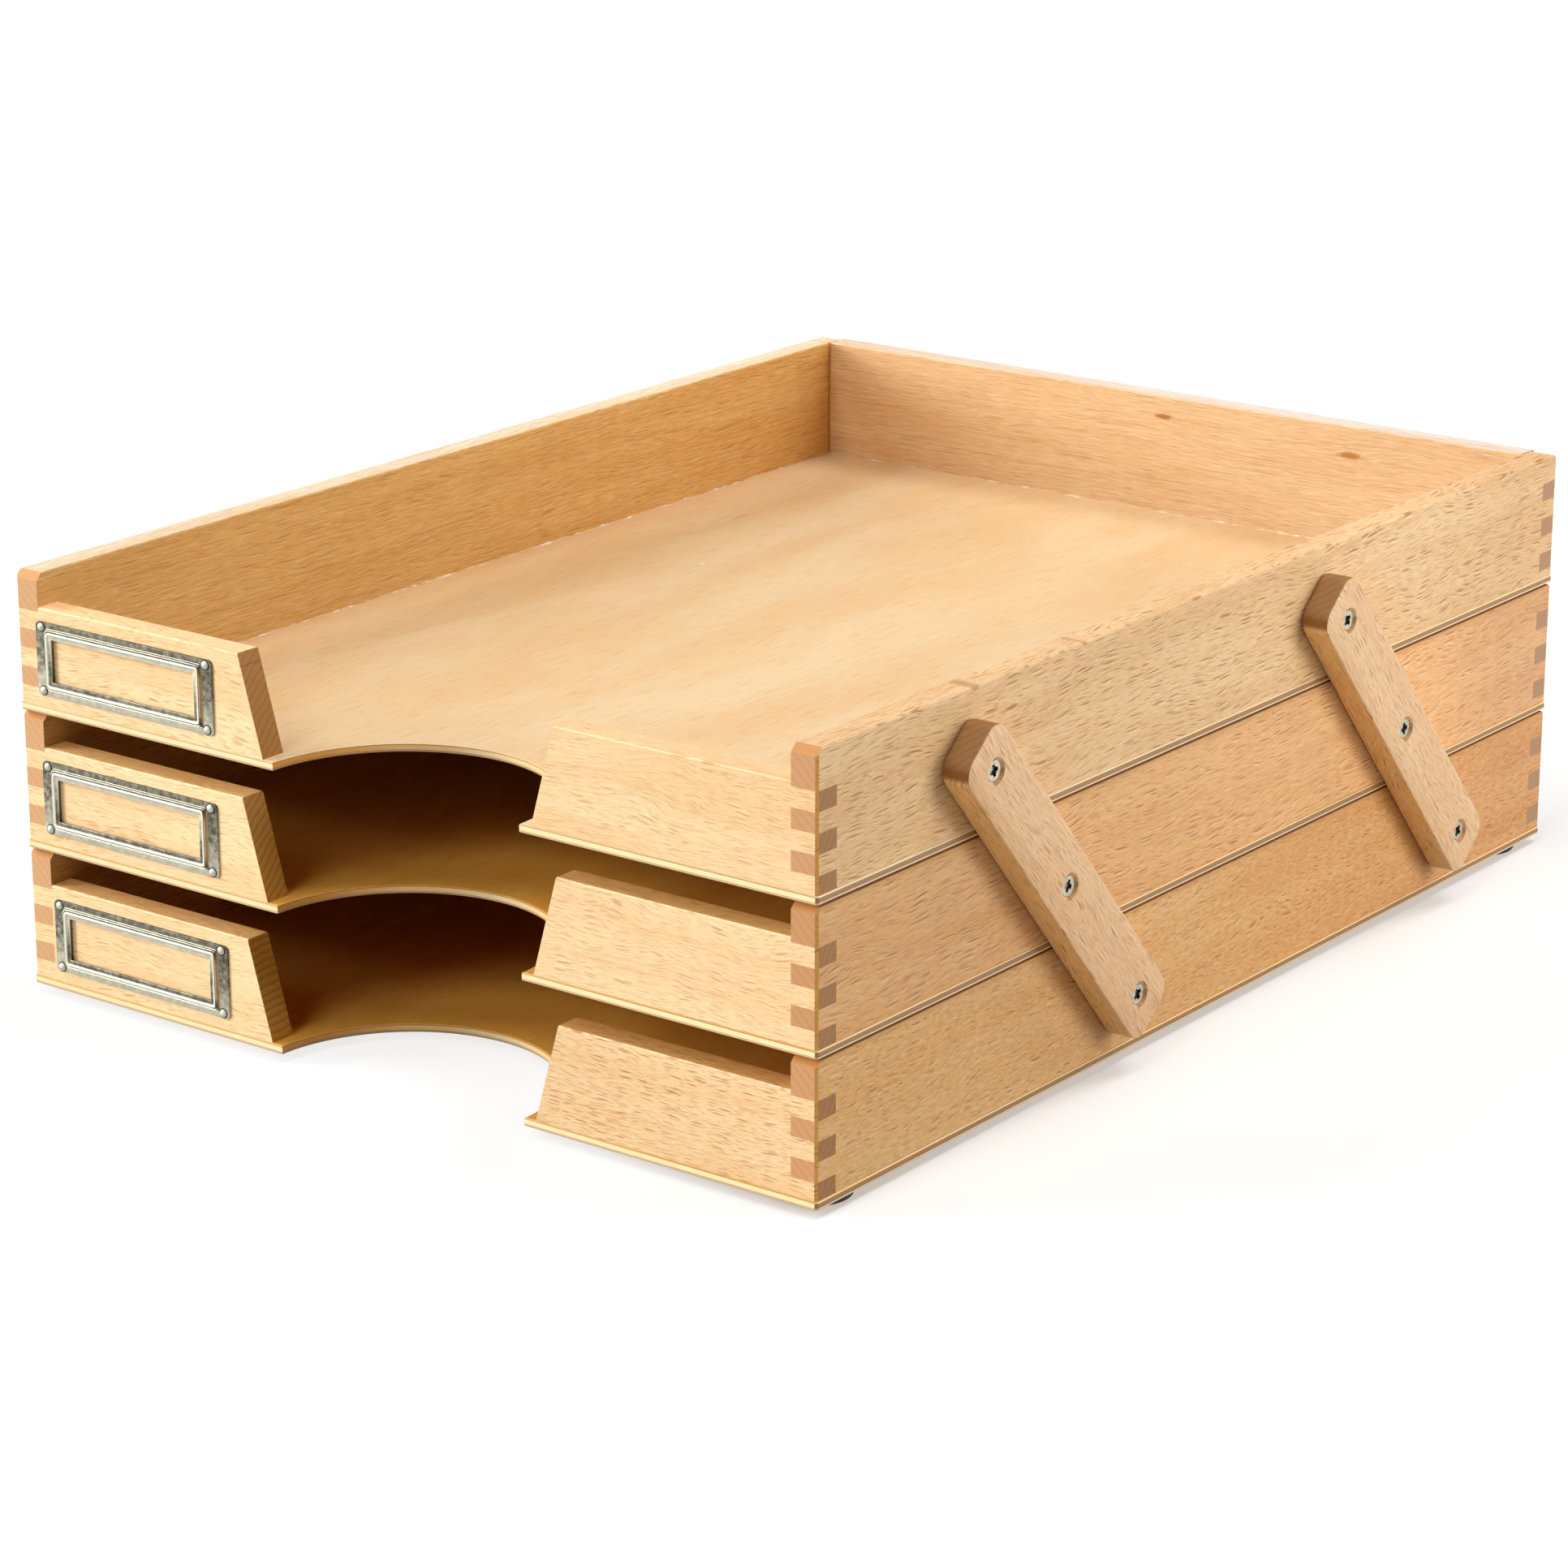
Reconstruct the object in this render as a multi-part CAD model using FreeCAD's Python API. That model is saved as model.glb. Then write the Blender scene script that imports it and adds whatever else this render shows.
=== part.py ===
"""Three-tier letter tray: equal beech trays, stacked, joined on each side by two swinging link bars.

Millimetres, +Z up, +X to the user's right, the open front faces -Y. The origin is the centre of the
footprint, on the surface that the feet stand on. Each tray is five finger-jointed boards on a plywood
floor. A link bar turns on three countersunk screws, one in each tray, so the trays swing up and back
together and come to rest as steps.
"""

import FreeCAD, Part
import math
import os

from FreeCAD import Vector

# Driving dimensions of one tray
TRAY_WIDTH = 257.0
TRAY_DEPTH = 350.0
TRAY_HEIGHT = 37.4
TRAY_PITCH = 37.7
BOARD = 7.5
FLOOR_THICK = 2.2
TRAY_NAMES = ("bottom", "middle", "top")

# Front boards and the scoop between them
FRONT_HEIGHT = 28.5
FRONT_END_LOW = 43.5
FRONT_END_HIGH = 51.0
SCOOP_RADIUS = 40.0

# Finger joints: a finger's height, and the top of the highest front and back finger above the underside
FINGER = 5.1
FRONT_FINGER_TOP = 27.3
BACK_FINGER_TOP = 29.9
FINGER_COUNT = 3

# Eased edges: board tops, upright corners, the floor's underside, and both ends of a side board's top
TOP_EDGE = 0.35
CORNER_EDGE = 0.65
FLOOR_EDGE = 0.3
EAR_BEVEL = 2.0
TAIL_RADIUS = 2.8

# Link bars and their pivots
BAR_THICK = 7.5
BAR_WIDTH = 18.6
BAR_END = 10.0
BAR_CORNER = 5.0
BAR_EDGE = 0.4
BAR_GAP = 0.6
PIVOT_HEIGHT = 18.5
PIVOT_STEP = 32.6
FRONT_PIVOT = 92.5
REAR_PIVOT = 255.5

# Pivot screws and washers
SCREW_HEAD = 5.2
SCREW_SHANK = 3.0
SCREW_LENGTH = 13.0
SCREW_TIP = 2.0
RUNNING_FIT = 0.05
SINK_MOUTH = 7.0
SINK_CLEARANCE = 0.2
CROSS_LENGTH = 2.9
CROSS_WIDTH = 0.75
CROSS_DEPTH = 0.9
WASHER_OUTER = 9.0
WASHER_THICK = 0.4

# Label frame and its nails
LABEL_SIZE = (62.0, 19.8)
LABEL_RIM = (55.4, 16.4)
LABEL_WINDOW = (50.2, 11.4)
LABEL_SHEET = 0.5
LABEL_RISE = 1.4
LABEL_CORNER = 1.3
LABEL_CENTRE = (-90.6, 15.2)
LABEL_SHIFT = {"bottom": 1.8, "middle": 0.0, "top": 0.0}
NAIL_SPACING = (57.8, 17.0)
NAIL_HEAD = 2.3
NAIL_DOME = 0.75
NAIL_SHANK = 1.0
NAIL_LENGTH = 6.0

# Feet
FOOT_RADIUS = 9.5
FOOT_HEIGHT = 2.5
FOOT_BEVEL = 0.6
FOOT_INSET = (11.0, 14.0)

# Worked out from the dimensions above
HALF_WIDTH = TRAY_WIDTH / 2
LABEL_PROUD = max(LABEL_RISE, LABEL_SHEET + NAIL_DOME)
FRONT_Y = (LABEL_PROUD - TRAY_DEPTH) / 2
BACK_Y = FRONT_Y + TRAY_DEPTH


def tray_base(index):
    """Height of the underside of a tray's floor panel, counted from the bottom tray."""
    return FOOT_HEIGHT + index * TRAY_PITCH


def block(x0, x1, y0, y1, z0, z1):
    """A box between two corners."""
    return Part.makeBox(x1 - x0, y1 - y0, z1 - z0, Vector(x0, y0, z0))


def prism(points, direction):
    """A closed polygon through the points, extruded along the direction."""
    wire = Part.makePolygon([Vector(*p) for p in points + points[:1]])
    return Part.Face(wire).extrude(Vector(*direction))


def front_fingers(base):
    """Lowest and highest level of each front board finger, the last one down to the floor panel."""
    spans = []
    for k in range(FINGER_COUNT):
        top = base + FRONT_FINGER_TOP - 2 * k * FINGER
        low = top - FINGER if k < FINGER_COUNT - 1 else base + FLOOR_THICK
        spans.append((low, top))
    return spans


def back_fingers(base):
    """Lowest and highest level of each back board finger."""
    tops = [base + BACK_FINGER_TOP - 2 * k * FINGER for k in range(FINGER_COUNT)]
    return [(top - FINGER, top) for top in tops]


def corner_bevels(base):
    """Prisms that ease the tray's four upright corners."""
    e = CORNER_EDGE
    cuts = []
    for sx in (-1, 1):
        for y, sy in ((FRONT_Y, 1), (BACK_Y, -1)):
            x = sx * HALF_WIDTH
            points = [(x, y, base), (x - sx * e, y, base), (x, y + sy * e, base)]
            cuts.append(prism(points, (0, 0, TRAY_HEIGHT)))
    return cuts


def eased(board, level, size):
    """The plain board with a chamfer on its two long edges at one level."""
    at_level = [e for e in board.Edges if abs(e.BoundBox.ZMin - level) + abs(e.BoundBox.ZMax - level) < 0.01]
    at_level.sort(key=lambda edge: edge.Length)
    return board.makeChamfer(size, at_level[-2:])


def bored(board, holes):
    """The board without the given holes."""
    for hole in holes:
        board = board.cut(hole)
    return board.removeSplitter()


def pivot_places(index):
    """Y and Z of a tray's front and rear pivot."""
    shift = (1 - index) * PIVOT_STEP
    z = tray_base(index) + PIVOT_HEIGHT
    return [(FRONT_Y + FRONT_PIVOT + shift, z), (FRONT_Y + REAR_PIVOT + shift, z)]


def cylinder_x(radius, side, x0, x1, y, z):
    """A cylinder along X from distance x0 to x1 off the middle, on the side -1 or 1."""
    return Part.makeCylinder(radius, x1 - x0, Vector(side * x0, y, z), Vector(side, 0, 0))


def screw_depths():
    """Distance from the tray's middle of the screw's head face, the end of its cone, and its tip."""
    sink_margin = (SINK_MOUTH - SCREW_HEAD) / 2 - SINK_CLEARANCE
    face = HALF_WIDTH + BAR_GAP + BAR_THICK - sink_margin
    neck = face - (SCREW_HEAD - SCREW_SHANK) / 2
    return face, neck, face - SCREW_LENGTH


def screw_shank(side, y, z):
    """Shank and point of a pivot screw."""
    face, neck, tip = screw_depths()
    radius = SCREW_SHANK / 2
    point = Part.makeCone(0.2, radius, SCREW_TIP, Vector(side * tip, y, z), Vector(side, 0, 0))
    return cylinder_x(radius, side, tip + SCREW_TIP, neck, y, z).fuse(point)


def pivot_screw(side, y, z, turn):
    """A countersunk screw with a cross recess, turned by an angle in degrees."""
    face, neck, tip = screw_depths()
    head = Part.makeCone(
        SCREW_SHANK / 2, SCREW_HEAD / 2, face - neck, Vector(side * neck, y, z), Vector(side, 0, 0)
    )
    screw = head.fuse(screw_shank(side, y, z)).removeSplitter()
    x0, x1 = sorted((side * (face - CROSS_DEPTH), side * (face + 1)))
    half, wide = CROSS_LENGTH / 2, CROSS_WIDTH / 2
    slots = [
        block(x0, x1, y - half, y + half, z - wide, z + wide),
        block(x0, x1, y - wide, y + wide, z - half, z + half),
    ]
    for slot in slots:
        slot.rotate(Vector(0, y, z), Vector(1, 0, 0), turn)
        screw = screw.cut(slot)
    return screw


def side_board(index, side):
    """A side board with notches for the front and back fingers and its two pivot screw holes."""
    base = tray_base(index)
    inner, outer = sorted((side * (HALF_WIDTH - BOARD), side * HALF_WIDTH))
    top = base + TRAY_HEIGHT
    board = eased(block(inner, outer, FRONT_Y, BACK_Y, base + FLOOR_THICK, top), top, TOP_EDGE)
    ear = [(inner, FRONT_Y, top), (inner, FRONT_Y + EAR_BEVEL, top), (inner, FRONT_Y, top - EAR_BEVEL)]
    board = board.cut(prism(ear, (BOARD, 0, 0)))
    tail_y, tail_z = BACK_Y - TAIL_RADIUS, top - TAIL_RADIUS
    tail = block(inner, outer, tail_y, BACK_Y, tail_z, top)
    tail = tail.cut(Part.makeCylinder(TAIL_RADIUS, BOARD, Vector(inner, tail_y, tail_z), Vector(1, 0, 0)))
    board = board.cut(tail)
    for low, high in front_fingers(base):
        board = board.cut(block(inner, outer, FRONT_Y, FRONT_Y + BOARD, low, high))
    for low, high in back_fingers(base):
        board = board.cut(block(inner, outer, BACK_Y - BOARD, BACK_Y, low, high))
    for cut in corner_bevels(base):
        board = board.cut(cut)
    return bored(board, [screw_shank(side, y, z) for y, z in pivot_places(index)])


def back_board(index):
    """The back board with its fingers at both ends."""
    base = tray_base(index)
    top = base + TRAY_HEIGHT
    board = block(-HALF_WIDTH, HALF_WIDTH, BACK_Y - BOARD, BACK_Y, base + FLOOR_THICK, top)
    board = eased(board, top, TOP_EDGE)
    for side in (-1, 1):
        inner, outer = sorted((side * (HALF_WIDTH - BOARD), side * HALF_WIDTH))
        waste = block(inner, outer, BACK_Y - BOARD, BACK_Y, base, top)
        for low, high in back_fingers(base):
            waste = waste.cut(block(inner, outer, BACK_Y - BOARD, BACK_Y, low, high))
        board = board.cut(waste)
    for cut in corner_bevels(base):
        board = board.cut(cut)
    return board.removeSplitter()


def front_board(index, side):
    """A front board: fingers at the tray's corner, a slanted end beside the scoop."""
    base = tray_base(index)
    low, high = base + FLOOR_THICK, base + FRONT_HEIGHT
    x0, x1 = sorted((side * HALF_WIDTH, side * FRONT_END_LOW))
    board = eased(block(x0, x1, FRONT_Y, FRONT_Y + BOARD, low, high), high, TOP_EDGE)
    slant = [
        (side * FRONT_END_LOW, FRONT_Y, low),
        (side * FRONT_END_HIGH, FRONT_Y, high),
        (side * (FRONT_END_LOW - 1), FRONT_Y, high),
        (side * (FRONT_END_LOW - 1), FRONT_Y, low),
    ]
    board = board.cut(prism(slant, (0, BOARD, 0)))
    inner, outer = sorted((side * (HALF_WIDTH - BOARD), side * HALF_WIDTH))
    waste = block(inner, outer, FRONT_Y, FRONT_Y + BOARD, base, high)
    for finger_low, finger_high in front_fingers(base):
        waste = waste.cut(block(inner, outer, FRONT_Y, FRONT_Y + BOARD, finger_low, finger_high))
    board = board.cut(waste)
    for cut in corner_bevels(base):
        board = board.cut(cut)
    return bored(board, nail_shanks(index)) if side < 0 else board.removeSplitter()


def floor_panel(index):
    """The plywood floor with the half-round scoop in its front edge."""
    base = tray_base(index)
    panel = block(-HALF_WIDTH, HALF_WIDTH, FRONT_Y, BACK_Y, base, base + FLOOR_THICK)
    under = [e for e in panel.Edges if e.BoundBox.ZMax < base + FLOOR_EDGE]
    panel = panel.makeChamfer(FLOOR_EDGE, under)
    for cut in corner_bevels(base):
        panel = panel.cut(cut)
    return panel.cut(Part.makeCylinder(SCOOP_RADIUS, FLOOR_THICK, Vector(0, FRONT_Y, base)))


def rounded_plate(centre, size, corner, y0, y1):
    """A plate in the XZ plane between two depths, with rounded corners."""
    (cx, cz), (width, height) = centre, size
    plate = block(cx - width / 2, cx + width / 2, y0, y1, cz - height / 2, cz + height / 2)
    through = [e for e in plate.Edges if e.BoundBox.YMax - e.BoundBox.YMin > 0.5 * (y1 - y0)]
    return plate.makeFillet(corner, through)


def label_centre(index):
    """X and Z of the middle of a tray's label frame."""
    return LABEL_CENTRE[0] + LABEL_SHIFT[TRAY_NAMES[index]], tray_base(index) + LABEL_CENTRE[1]


def nail_places(index):
    """X and Z of a label frame's four nails."""
    cx, cz = label_centre(index)
    half_x, half_z = NAIL_SPACING[0] / 2, NAIL_SPACING[1] / 2
    return [(cx + sx * half_x, cz + sz * half_z) for sx in (-1, 1) for sz in (-1, 1)]


def nail_shanks(index):
    """The nails' shanks, as deep as they go into the board."""
    radius, length = NAIL_SHANK / 2, NAIL_LENGTH + LABEL_SHEET
    return [
        Part.makeCylinder(radius, length, Vector(x, FRONT_Y - LABEL_SHEET, z), Vector(0, 1, 0))
        for x, z in nail_places(index)
    ]


def label_nails(index):
    """Four round-head nails: a dome on a straight shank."""
    nails = []
    radius = (NAIL_HEAD**2 / 4 + NAIL_DOME**2) / (2 * NAIL_DOME)
    face = FRONT_Y - LABEL_SHEET
    for shank, (x, z) in zip(nail_shanks(index), nail_places(index)):
        ball = Part.makeSphere(radius, Vector(x, face - NAIL_DOME + radius, z))
        keep = block(x - NAIL_HEAD, x + NAIL_HEAD, face - NAIL_DOME, face, z - NAIL_HEAD, z + NAIL_HEAD)
        nails.append(ball.common(keep).fuse(shank).removeSplitter())
    return Part.makeCompound(nails)


def label_frame(index):
    """A stamped frame: a flat flange, and a raised rim round the window that is open at its right end."""
    centre = label_centre(index)
    cx, cz = centre
    flange_face, rim_face = FRONT_Y - LABEL_SHEET, FRONT_Y - LABEL_RISE
    pocket = (LABEL_RIM[0] - 2 * LABEL_SHEET, LABEL_RIM[1] - 2 * LABEL_SHEET)
    frame = rounded_plate(centre, LABEL_SIZE, LABEL_CORNER, flange_face, FRONT_Y)
    rim = rounded_plate(centre, LABEL_RIM, LABEL_CORNER / 2, rim_face, FRONT_Y)
    frame = frame.fuse(rim)
    half_x, half_z = pocket[0] / 2, pocket[1] / 2
    frame = frame.cut(
        block(cx - half_x, cx + half_x, rim_face + LABEL_SHEET, FRONT_Y, cz - half_z, cz + half_z)
    )
    half_x, half_z = LABEL_WINDOW[0] / 2, LABEL_WINDOW[1] / 2
    frame = frame.cut(block(cx - half_x, cx + half_x, rim_face, FRONT_Y, cz - half_z, cz + half_z))
    end = cx + LABEL_RIM[0] / 2
    mouth = block(end - LABEL_SHEET, end, rim_face + LABEL_SHEET, flange_face, cz - half_z, cz + half_z)
    frame = frame.cut(mouth)
    return bored(frame, nail_shanks(index))


def link_bar(side, column):
    """A link bar with three countersunk holes; column 0 is the front pair of bars, 1 the rear pair."""
    places = [pivot_places(index)[column] for index in range(len(TRAY_NAMES))]
    (y_low, z_low), (y_high, z_high) = places[0], places[-1]
    length = math.hypot(y_high - y_low, z_high - z_low) + 2 * BAR_END
    x0 = HALF_WIDTH + BAR_GAP
    bar = Part.makeBox(BAR_THICK, BAR_WIDTH, length, Vector(0, -BAR_WIDTH / 2, -length / 2))
    corners = [e for e in bar.Edges if abs(e.Vertexes[0].Point.x - e.Vertexes[-1].Point.x) > BAR_THICK / 2]
    bar = bar.makeFillet(BAR_CORNER, corners)
    outer = [e for e in bar.Edges if e.BoundBox.XMin > BAR_THICK - 0.01]
    bar = bar.makeChamfer(BAR_EDGE, outer)
    if side < 0:
        bar = bar.mirror(Vector(0, 0, 0), Vector(1, 0, 0))
    lean = math.degrees(math.atan2(y_low - y_high, z_high - z_low))
    bar.rotate(Vector(0, 0, 0), Vector(1, 0, 0), lean)
    bar.translate(Vector(side * x0, (y_low + y_high) / 2, (z_low + z_high) / 2))
    bore = SCREW_SHANK / 2 + RUNNING_FIT
    mouth = SINK_MOUTH / 2
    for y, z in places:
        bar = bar.cut(cylinder_x(bore, side, x0, x0 + BAR_THICK, y, z))
        sink = Part.makeCone(
            mouth, bore, mouth - bore, Vector(side * (x0 + BAR_THICK), y, z), Vector(-side, 0, 0)
        )
        bar = bar.cut(sink)
    return bar.removeSplitter()


def pivot_screws(index):
    """A tray's four pivot screws, each left at its own angle."""
    screws = []
    for side in (-1, 1):
        for column, (y, z) in enumerate(pivot_places(index)):
            turn = 20.0 + 37.0 * index + 24.0 * column + 11.0 * side
            screws.append(pivot_screw(side, y, z, turn))
    return Part.makeCompound(screws)


def pivot_washers(index):
    """A tray's four washers, flat against the side boards."""
    washers = []
    for side in (-1, 1):
        for y, z in pivot_places(index):
            ring = cylinder_x(WASHER_OUTER / 2, side, HALF_WIDTH, HALF_WIDTH + WASHER_THICK, y, z)
            hole = cylinder_x(SCREW_SHANK / 2, side, HALF_WIDTH, HALF_WIDTH + WASHER_THICK, y, z)
            washers.append(ring.cut(hole))
    return Part.makeCompound(washers)


def foot(side_x, side_y):
    """A round rubber foot under one corner of the bottom tray."""
    x = side_x * (HALF_WIDTH - FOOT_INSET[0])
    y = FRONT_Y + FOOT_INSET[1] if side_y < 0 else BACK_Y - FOOT_INSET[1]
    pad = Part.makeCylinder(FOOT_RADIUS, FOOT_HEIGHT, Vector(x, y, 0))
    low = [e for e in pad.Edges if e.BoundBox.ZMax < 0.01]
    return pad.makeChamfer(FOOT_BEVEL, low)


def all_nodes():
    """Every node of the object by name."""
    nodes = {}
    for index, tray in enumerate(TRAY_NAMES):
        nodes[tray + "_left_side"] = side_board(index, -1)
        nodes[tray + "_right_side"] = side_board(index, 1)
        nodes[tray + "_back"] = back_board(index)
        nodes[tray + "_front_left"] = front_board(index, -1)
        nodes[tray + "_front_right"] = front_board(index, 1)
        nodes[tray + "_floor_panel"] = floor_panel(index)
        nodes[tray + "_label_frame"] = label_frame(index)
        nodes[tray + "_label_nails"] = label_nails(index)
        nodes[tray + "_pivot_screws"] = pivot_screws(index)
        nodes[tray + "_pivot_washers"] = pivot_washers(index)
    for side, side_name in ((-1, "left"), (1, "right")):
        for column, column_name in enumerate(("front", "rear")):
            nodes[f"link_{side_name}_{column_name}"] = link_bar(side, column)
    for side_x, x_name in ((-1, "left"), (1, "right")):
        for side_y, y_name in ((-1, "front"), (1, "rear")):
            nodes[f"foot_{y_name}_{x_name}"] = foot(side_x, side_y)
    return nodes


def main():
    os.makedirs("parts", exist_ok=True)
    for name, shape in all_nodes().items():
        shape.exportStep(f"parts/{name}.step")
        print(name, len(shape.Solids), round(shape.Volume, 1), shape.isValid())


main()
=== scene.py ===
"""Three-tier beech letter tray with swing links: its finishes, its fine parts, and the studio round it.

Metres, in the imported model's frame: +X to the right seen from the front, -Y towards the open front, +Z up. Boards and
washers are the frame's own solids with a finish of their own. Link bars, floor panels, label frames, nails, screws and
feet are rebuilt here in finer detail and stand for the frame's solids.
"""

import logging
import math
from collections.abc import Iterable, Sequence
from dataclasses import dataclass, field, replace
from enum import Enum

import bmesh
import bpy
from mathutils import Matrix, Vector


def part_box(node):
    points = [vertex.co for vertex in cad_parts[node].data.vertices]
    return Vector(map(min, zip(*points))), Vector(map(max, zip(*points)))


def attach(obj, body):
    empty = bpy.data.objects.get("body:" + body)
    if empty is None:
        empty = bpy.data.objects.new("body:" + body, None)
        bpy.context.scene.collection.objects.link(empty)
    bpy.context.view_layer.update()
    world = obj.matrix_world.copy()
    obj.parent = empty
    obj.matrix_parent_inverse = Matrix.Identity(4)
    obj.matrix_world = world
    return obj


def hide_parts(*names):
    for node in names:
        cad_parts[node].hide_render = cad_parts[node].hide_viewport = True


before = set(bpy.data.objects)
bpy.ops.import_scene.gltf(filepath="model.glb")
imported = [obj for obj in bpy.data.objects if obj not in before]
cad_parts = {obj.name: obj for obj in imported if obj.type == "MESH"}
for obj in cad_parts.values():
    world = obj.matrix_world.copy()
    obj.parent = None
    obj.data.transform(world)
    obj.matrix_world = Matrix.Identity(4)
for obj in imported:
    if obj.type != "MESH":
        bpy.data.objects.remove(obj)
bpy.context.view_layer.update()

Colour = tuple[float, float, float]
Socket = bpy.types.NodeSocket
Sockets = bpy.types.NodeOutputs
LOG = logging.getLogger("letter_tray")

WHITE: Colour = (1.0, 1.0, 1.0)

MM = 0.001
SHARP_ANGLE = 32.0
TRAYS = ("bottom", "middle", "top")


class Grain(Enum):
    """Which way the fibres of a wooden piece run."""

    ALONG_X = "x"
    ALONG_Y = "y"
    ALONG_BAR = "bar"


class Side(Enum):
    """A side of the tray stack, by the sign of its X."""

    LEFT = -1
    RIGHT = 1


class Draft:
    """Draws nodes into one node tree and joins them up."""

    def __init__(self, tree: bpy.types.NodeTree) -> None:
        """Starts on an empty tree.

        Args:
            tree: The shader or geometry tree to draw in.
        """
        self.tree = tree

    def put(self, target: Socket, value: object) -> None:
        """Links a socket to the target, or sets the target's own value.

        Args:
            target: A node's input.
            value: The socket, or the value.
        """
        if isinstance(value, bpy.types.NodeSocket):
            self.tree.links.new(value, target)
        elif isinstance(value, tuple) and len(value) == 3 and target.type == "RGBA":
            target.default_value = (*value, 1.0)
        else:
            target.default_value = value

    def node(self, kind: str, inputs: dict | None = None, **settings: object) -> bpy.types.Node:
        """Adds a node.

        Args:
            kind: The node's type name.
            inputs: Values or sockets by input name or index.
            settings: The node's own properties.

        Returns:
            The new node.
        """
        made = self.tree.nodes.new(kind)
        for name, value in settings.items():
            setattr(made, name, value)
        for name, value in (inputs or {}).items():
            self.put(made.inputs[name], value)
        return made

    def maths(self, operation: str, *values: object) -> Socket:
        """A Math node's result."""
        return self.node("ShaderNodeMath", dict(enumerate(values)), operation=operation).outputs[0]

    def add(self, one: object, other: object) -> Socket:
        """One number plus another."""
        return self.maths("ADD", one, other)

    def sub(self, one: object, other: object) -> Socket:
        """One number less another."""
        return self.maths("SUBTRACT", one, other)

    def mul(self, one: object, other: object) -> Socket:
        """One number times another."""
        return self.maths("MULTIPLY", one, other)

    def div(self, one: object, other: object) -> Socket:
        """One number divided by another."""
        return self.maths("DIVIDE", one, other)

    def mul_add(self, one: object, other: object, extra: object) -> Socket:
        """One number times another, plus a third."""
        return self.maths("MULTIPLY_ADD", one, other, extra)

    def size(self, value: object) -> Socket:
        """A number without its sign."""
        return self.maths("ABSOLUTE", value)

    def vector(self, operation: str, *values: object) -> Socket:
        """A Vector Math node's result, which is a number for a dot product or a length."""
        made = self.node("ShaderNodeVectorMath", dict(enumerate(values)), operation=operation)
        return made.outputs["Value" if operation in ("DOT_PRODUCT", "LENGTH") else "Vector"]

    def scaled(self, point: Socket, by: tuple[float, float, float]) -> Socket:
        """A vector with each of its numbers multiplied."""
        return self.vector("MULTIPLY", point, by)

    def millimetres(self, place: Sockets) -> Socket:
        """The shaded point in its object's own frame, in millimetres, from a material's coordinates."""
        return self.scaled(place["Object"], (1 / MM,) * 3)

    def step(self, value: Socket, low: float, high: float) -> Socket:
        """A smooth step.

        Args:
            value: The number that steps.
            low: Where the step stands at 0.
            high: Where it stands at 1, which may lie below low.

        Returns:
            The step, from 0 to 1.
        """
        flip = low > high
        inputs = {"Value": value, "From Min": min(low, high), "From Max": max(low, high), "To Min": float(flip),
                  "To Max": float(not flip)}
        return self.node("ShaderNodeMapRange", inputs, interpolation_type="SMOOTHSTEP").outputs[0]

    def blend(self, share: object, first: object, second: object, how: str = "MIX") -> Socket:
        """Mixes two colours.

        Args:
            share: 0 for the first colour alone, 1 for the second at full strength.
            first: The colour below.
            second: The colour on top.
            how: The way to mix.

        Returns:
            The mixed colour.
        """
        inputs = {"Factor": share, 6: first, 7: second}
        return self.node("ShaderNodeMix", inputs, data_type="RGBA", blend_type=how).outputs[2]

    def layered(self, colour: object, *layers: tuple[object, object, str]) -> Socket:
        """Mixes layers over a colour, one after another.

        Args:
            colour: The bare colour.
            layers: The share, the colour and the way to mix of each layer, from the bottom up.

        Returns:
            The mixed colour.
        """
        for share, layer, how in layers:
            colour = self.blend(share, colour, layer, how)
        return colour

    def noise(self, point: Socket, detail: float = 2.0, roughness: float = 0.5) -> Socket:
        """Noise between 0 and 1 with one bump for each unit of the point's space."""
        inputs = {"Vector": point, "Scale": 1.0, "Detail": detail, "Roughness": roughness}
        return self.node("ShaderNodeTexNoise", inputs).outputs[0]

    def cells(self, point: Socket) -> tuple[Socket, Socket]:
        """Cells one unit apart: the distance to the nearest one's middle, and its own random colour."""
        made = self.node("ShaderNodeTexVoronoi", {"Vector": point, "Scale": 1.0})
        return made.outputs["Distance"], made.outputs["Color"]

    def split(self, point: Socket) -> tuple[Socket, Socket, Socket]:
        """The three numbers of a vector."""
        made = self.node("ShaderNodeSeparateXYZ", {0: point})
        return made.outputs[0], made.outputs[1], made.outputs[2]

    def join(self, x: object, y: object, z: object) -> Socket:
        """A vector of three numbers."""
        return self.node("ShaderNodeCombineXYZ", {0: x, 1: y, 2: z}).outputs[0]


# ----------------------------------------------------------------------------------------------------- finishes


class Finish:
    """A procedural look for one piece, laid out on the object's own coordinates in millimetres."""

    name: str

    def surface(self, d: Draft, place: Sockets) -> dict:
        """The look's own colour, roughness and relief.

        Args:
            d: The material's tree.
            place: The coordinates of the shaded point.

        Returns:
            Values for the surface shader by input name.
        """
        raise NotImplementedError

    def material(self) -> bpy.types.Material:
        """Builds the finish as a material."""
        made = bpy.data.materials.new(self.name)
        made.use_nodes = True
        made.node_tree.nodes.clear()
        d = Draft(made.node_tree)
        surface = self.surface(d, d.node("ShaderNodeTexCoord").outputs)
        shader = d.node("ShaderNodeBsdfPrincipled", surface)
        d.node("ShaderNodeOutputMaterial", {"Surface": shader.outputs[0]})
        return made


@dataclass(frozen=True)
class Mark:
    """A knot, chip or stain on a flat piece: its place along and across the grain and its size, in millimetres."""

    along: float
    across: float
    long: float
    tall: float
    colour: Colour
    strength: float = 0.9
    lean: float = 0.0


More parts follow.
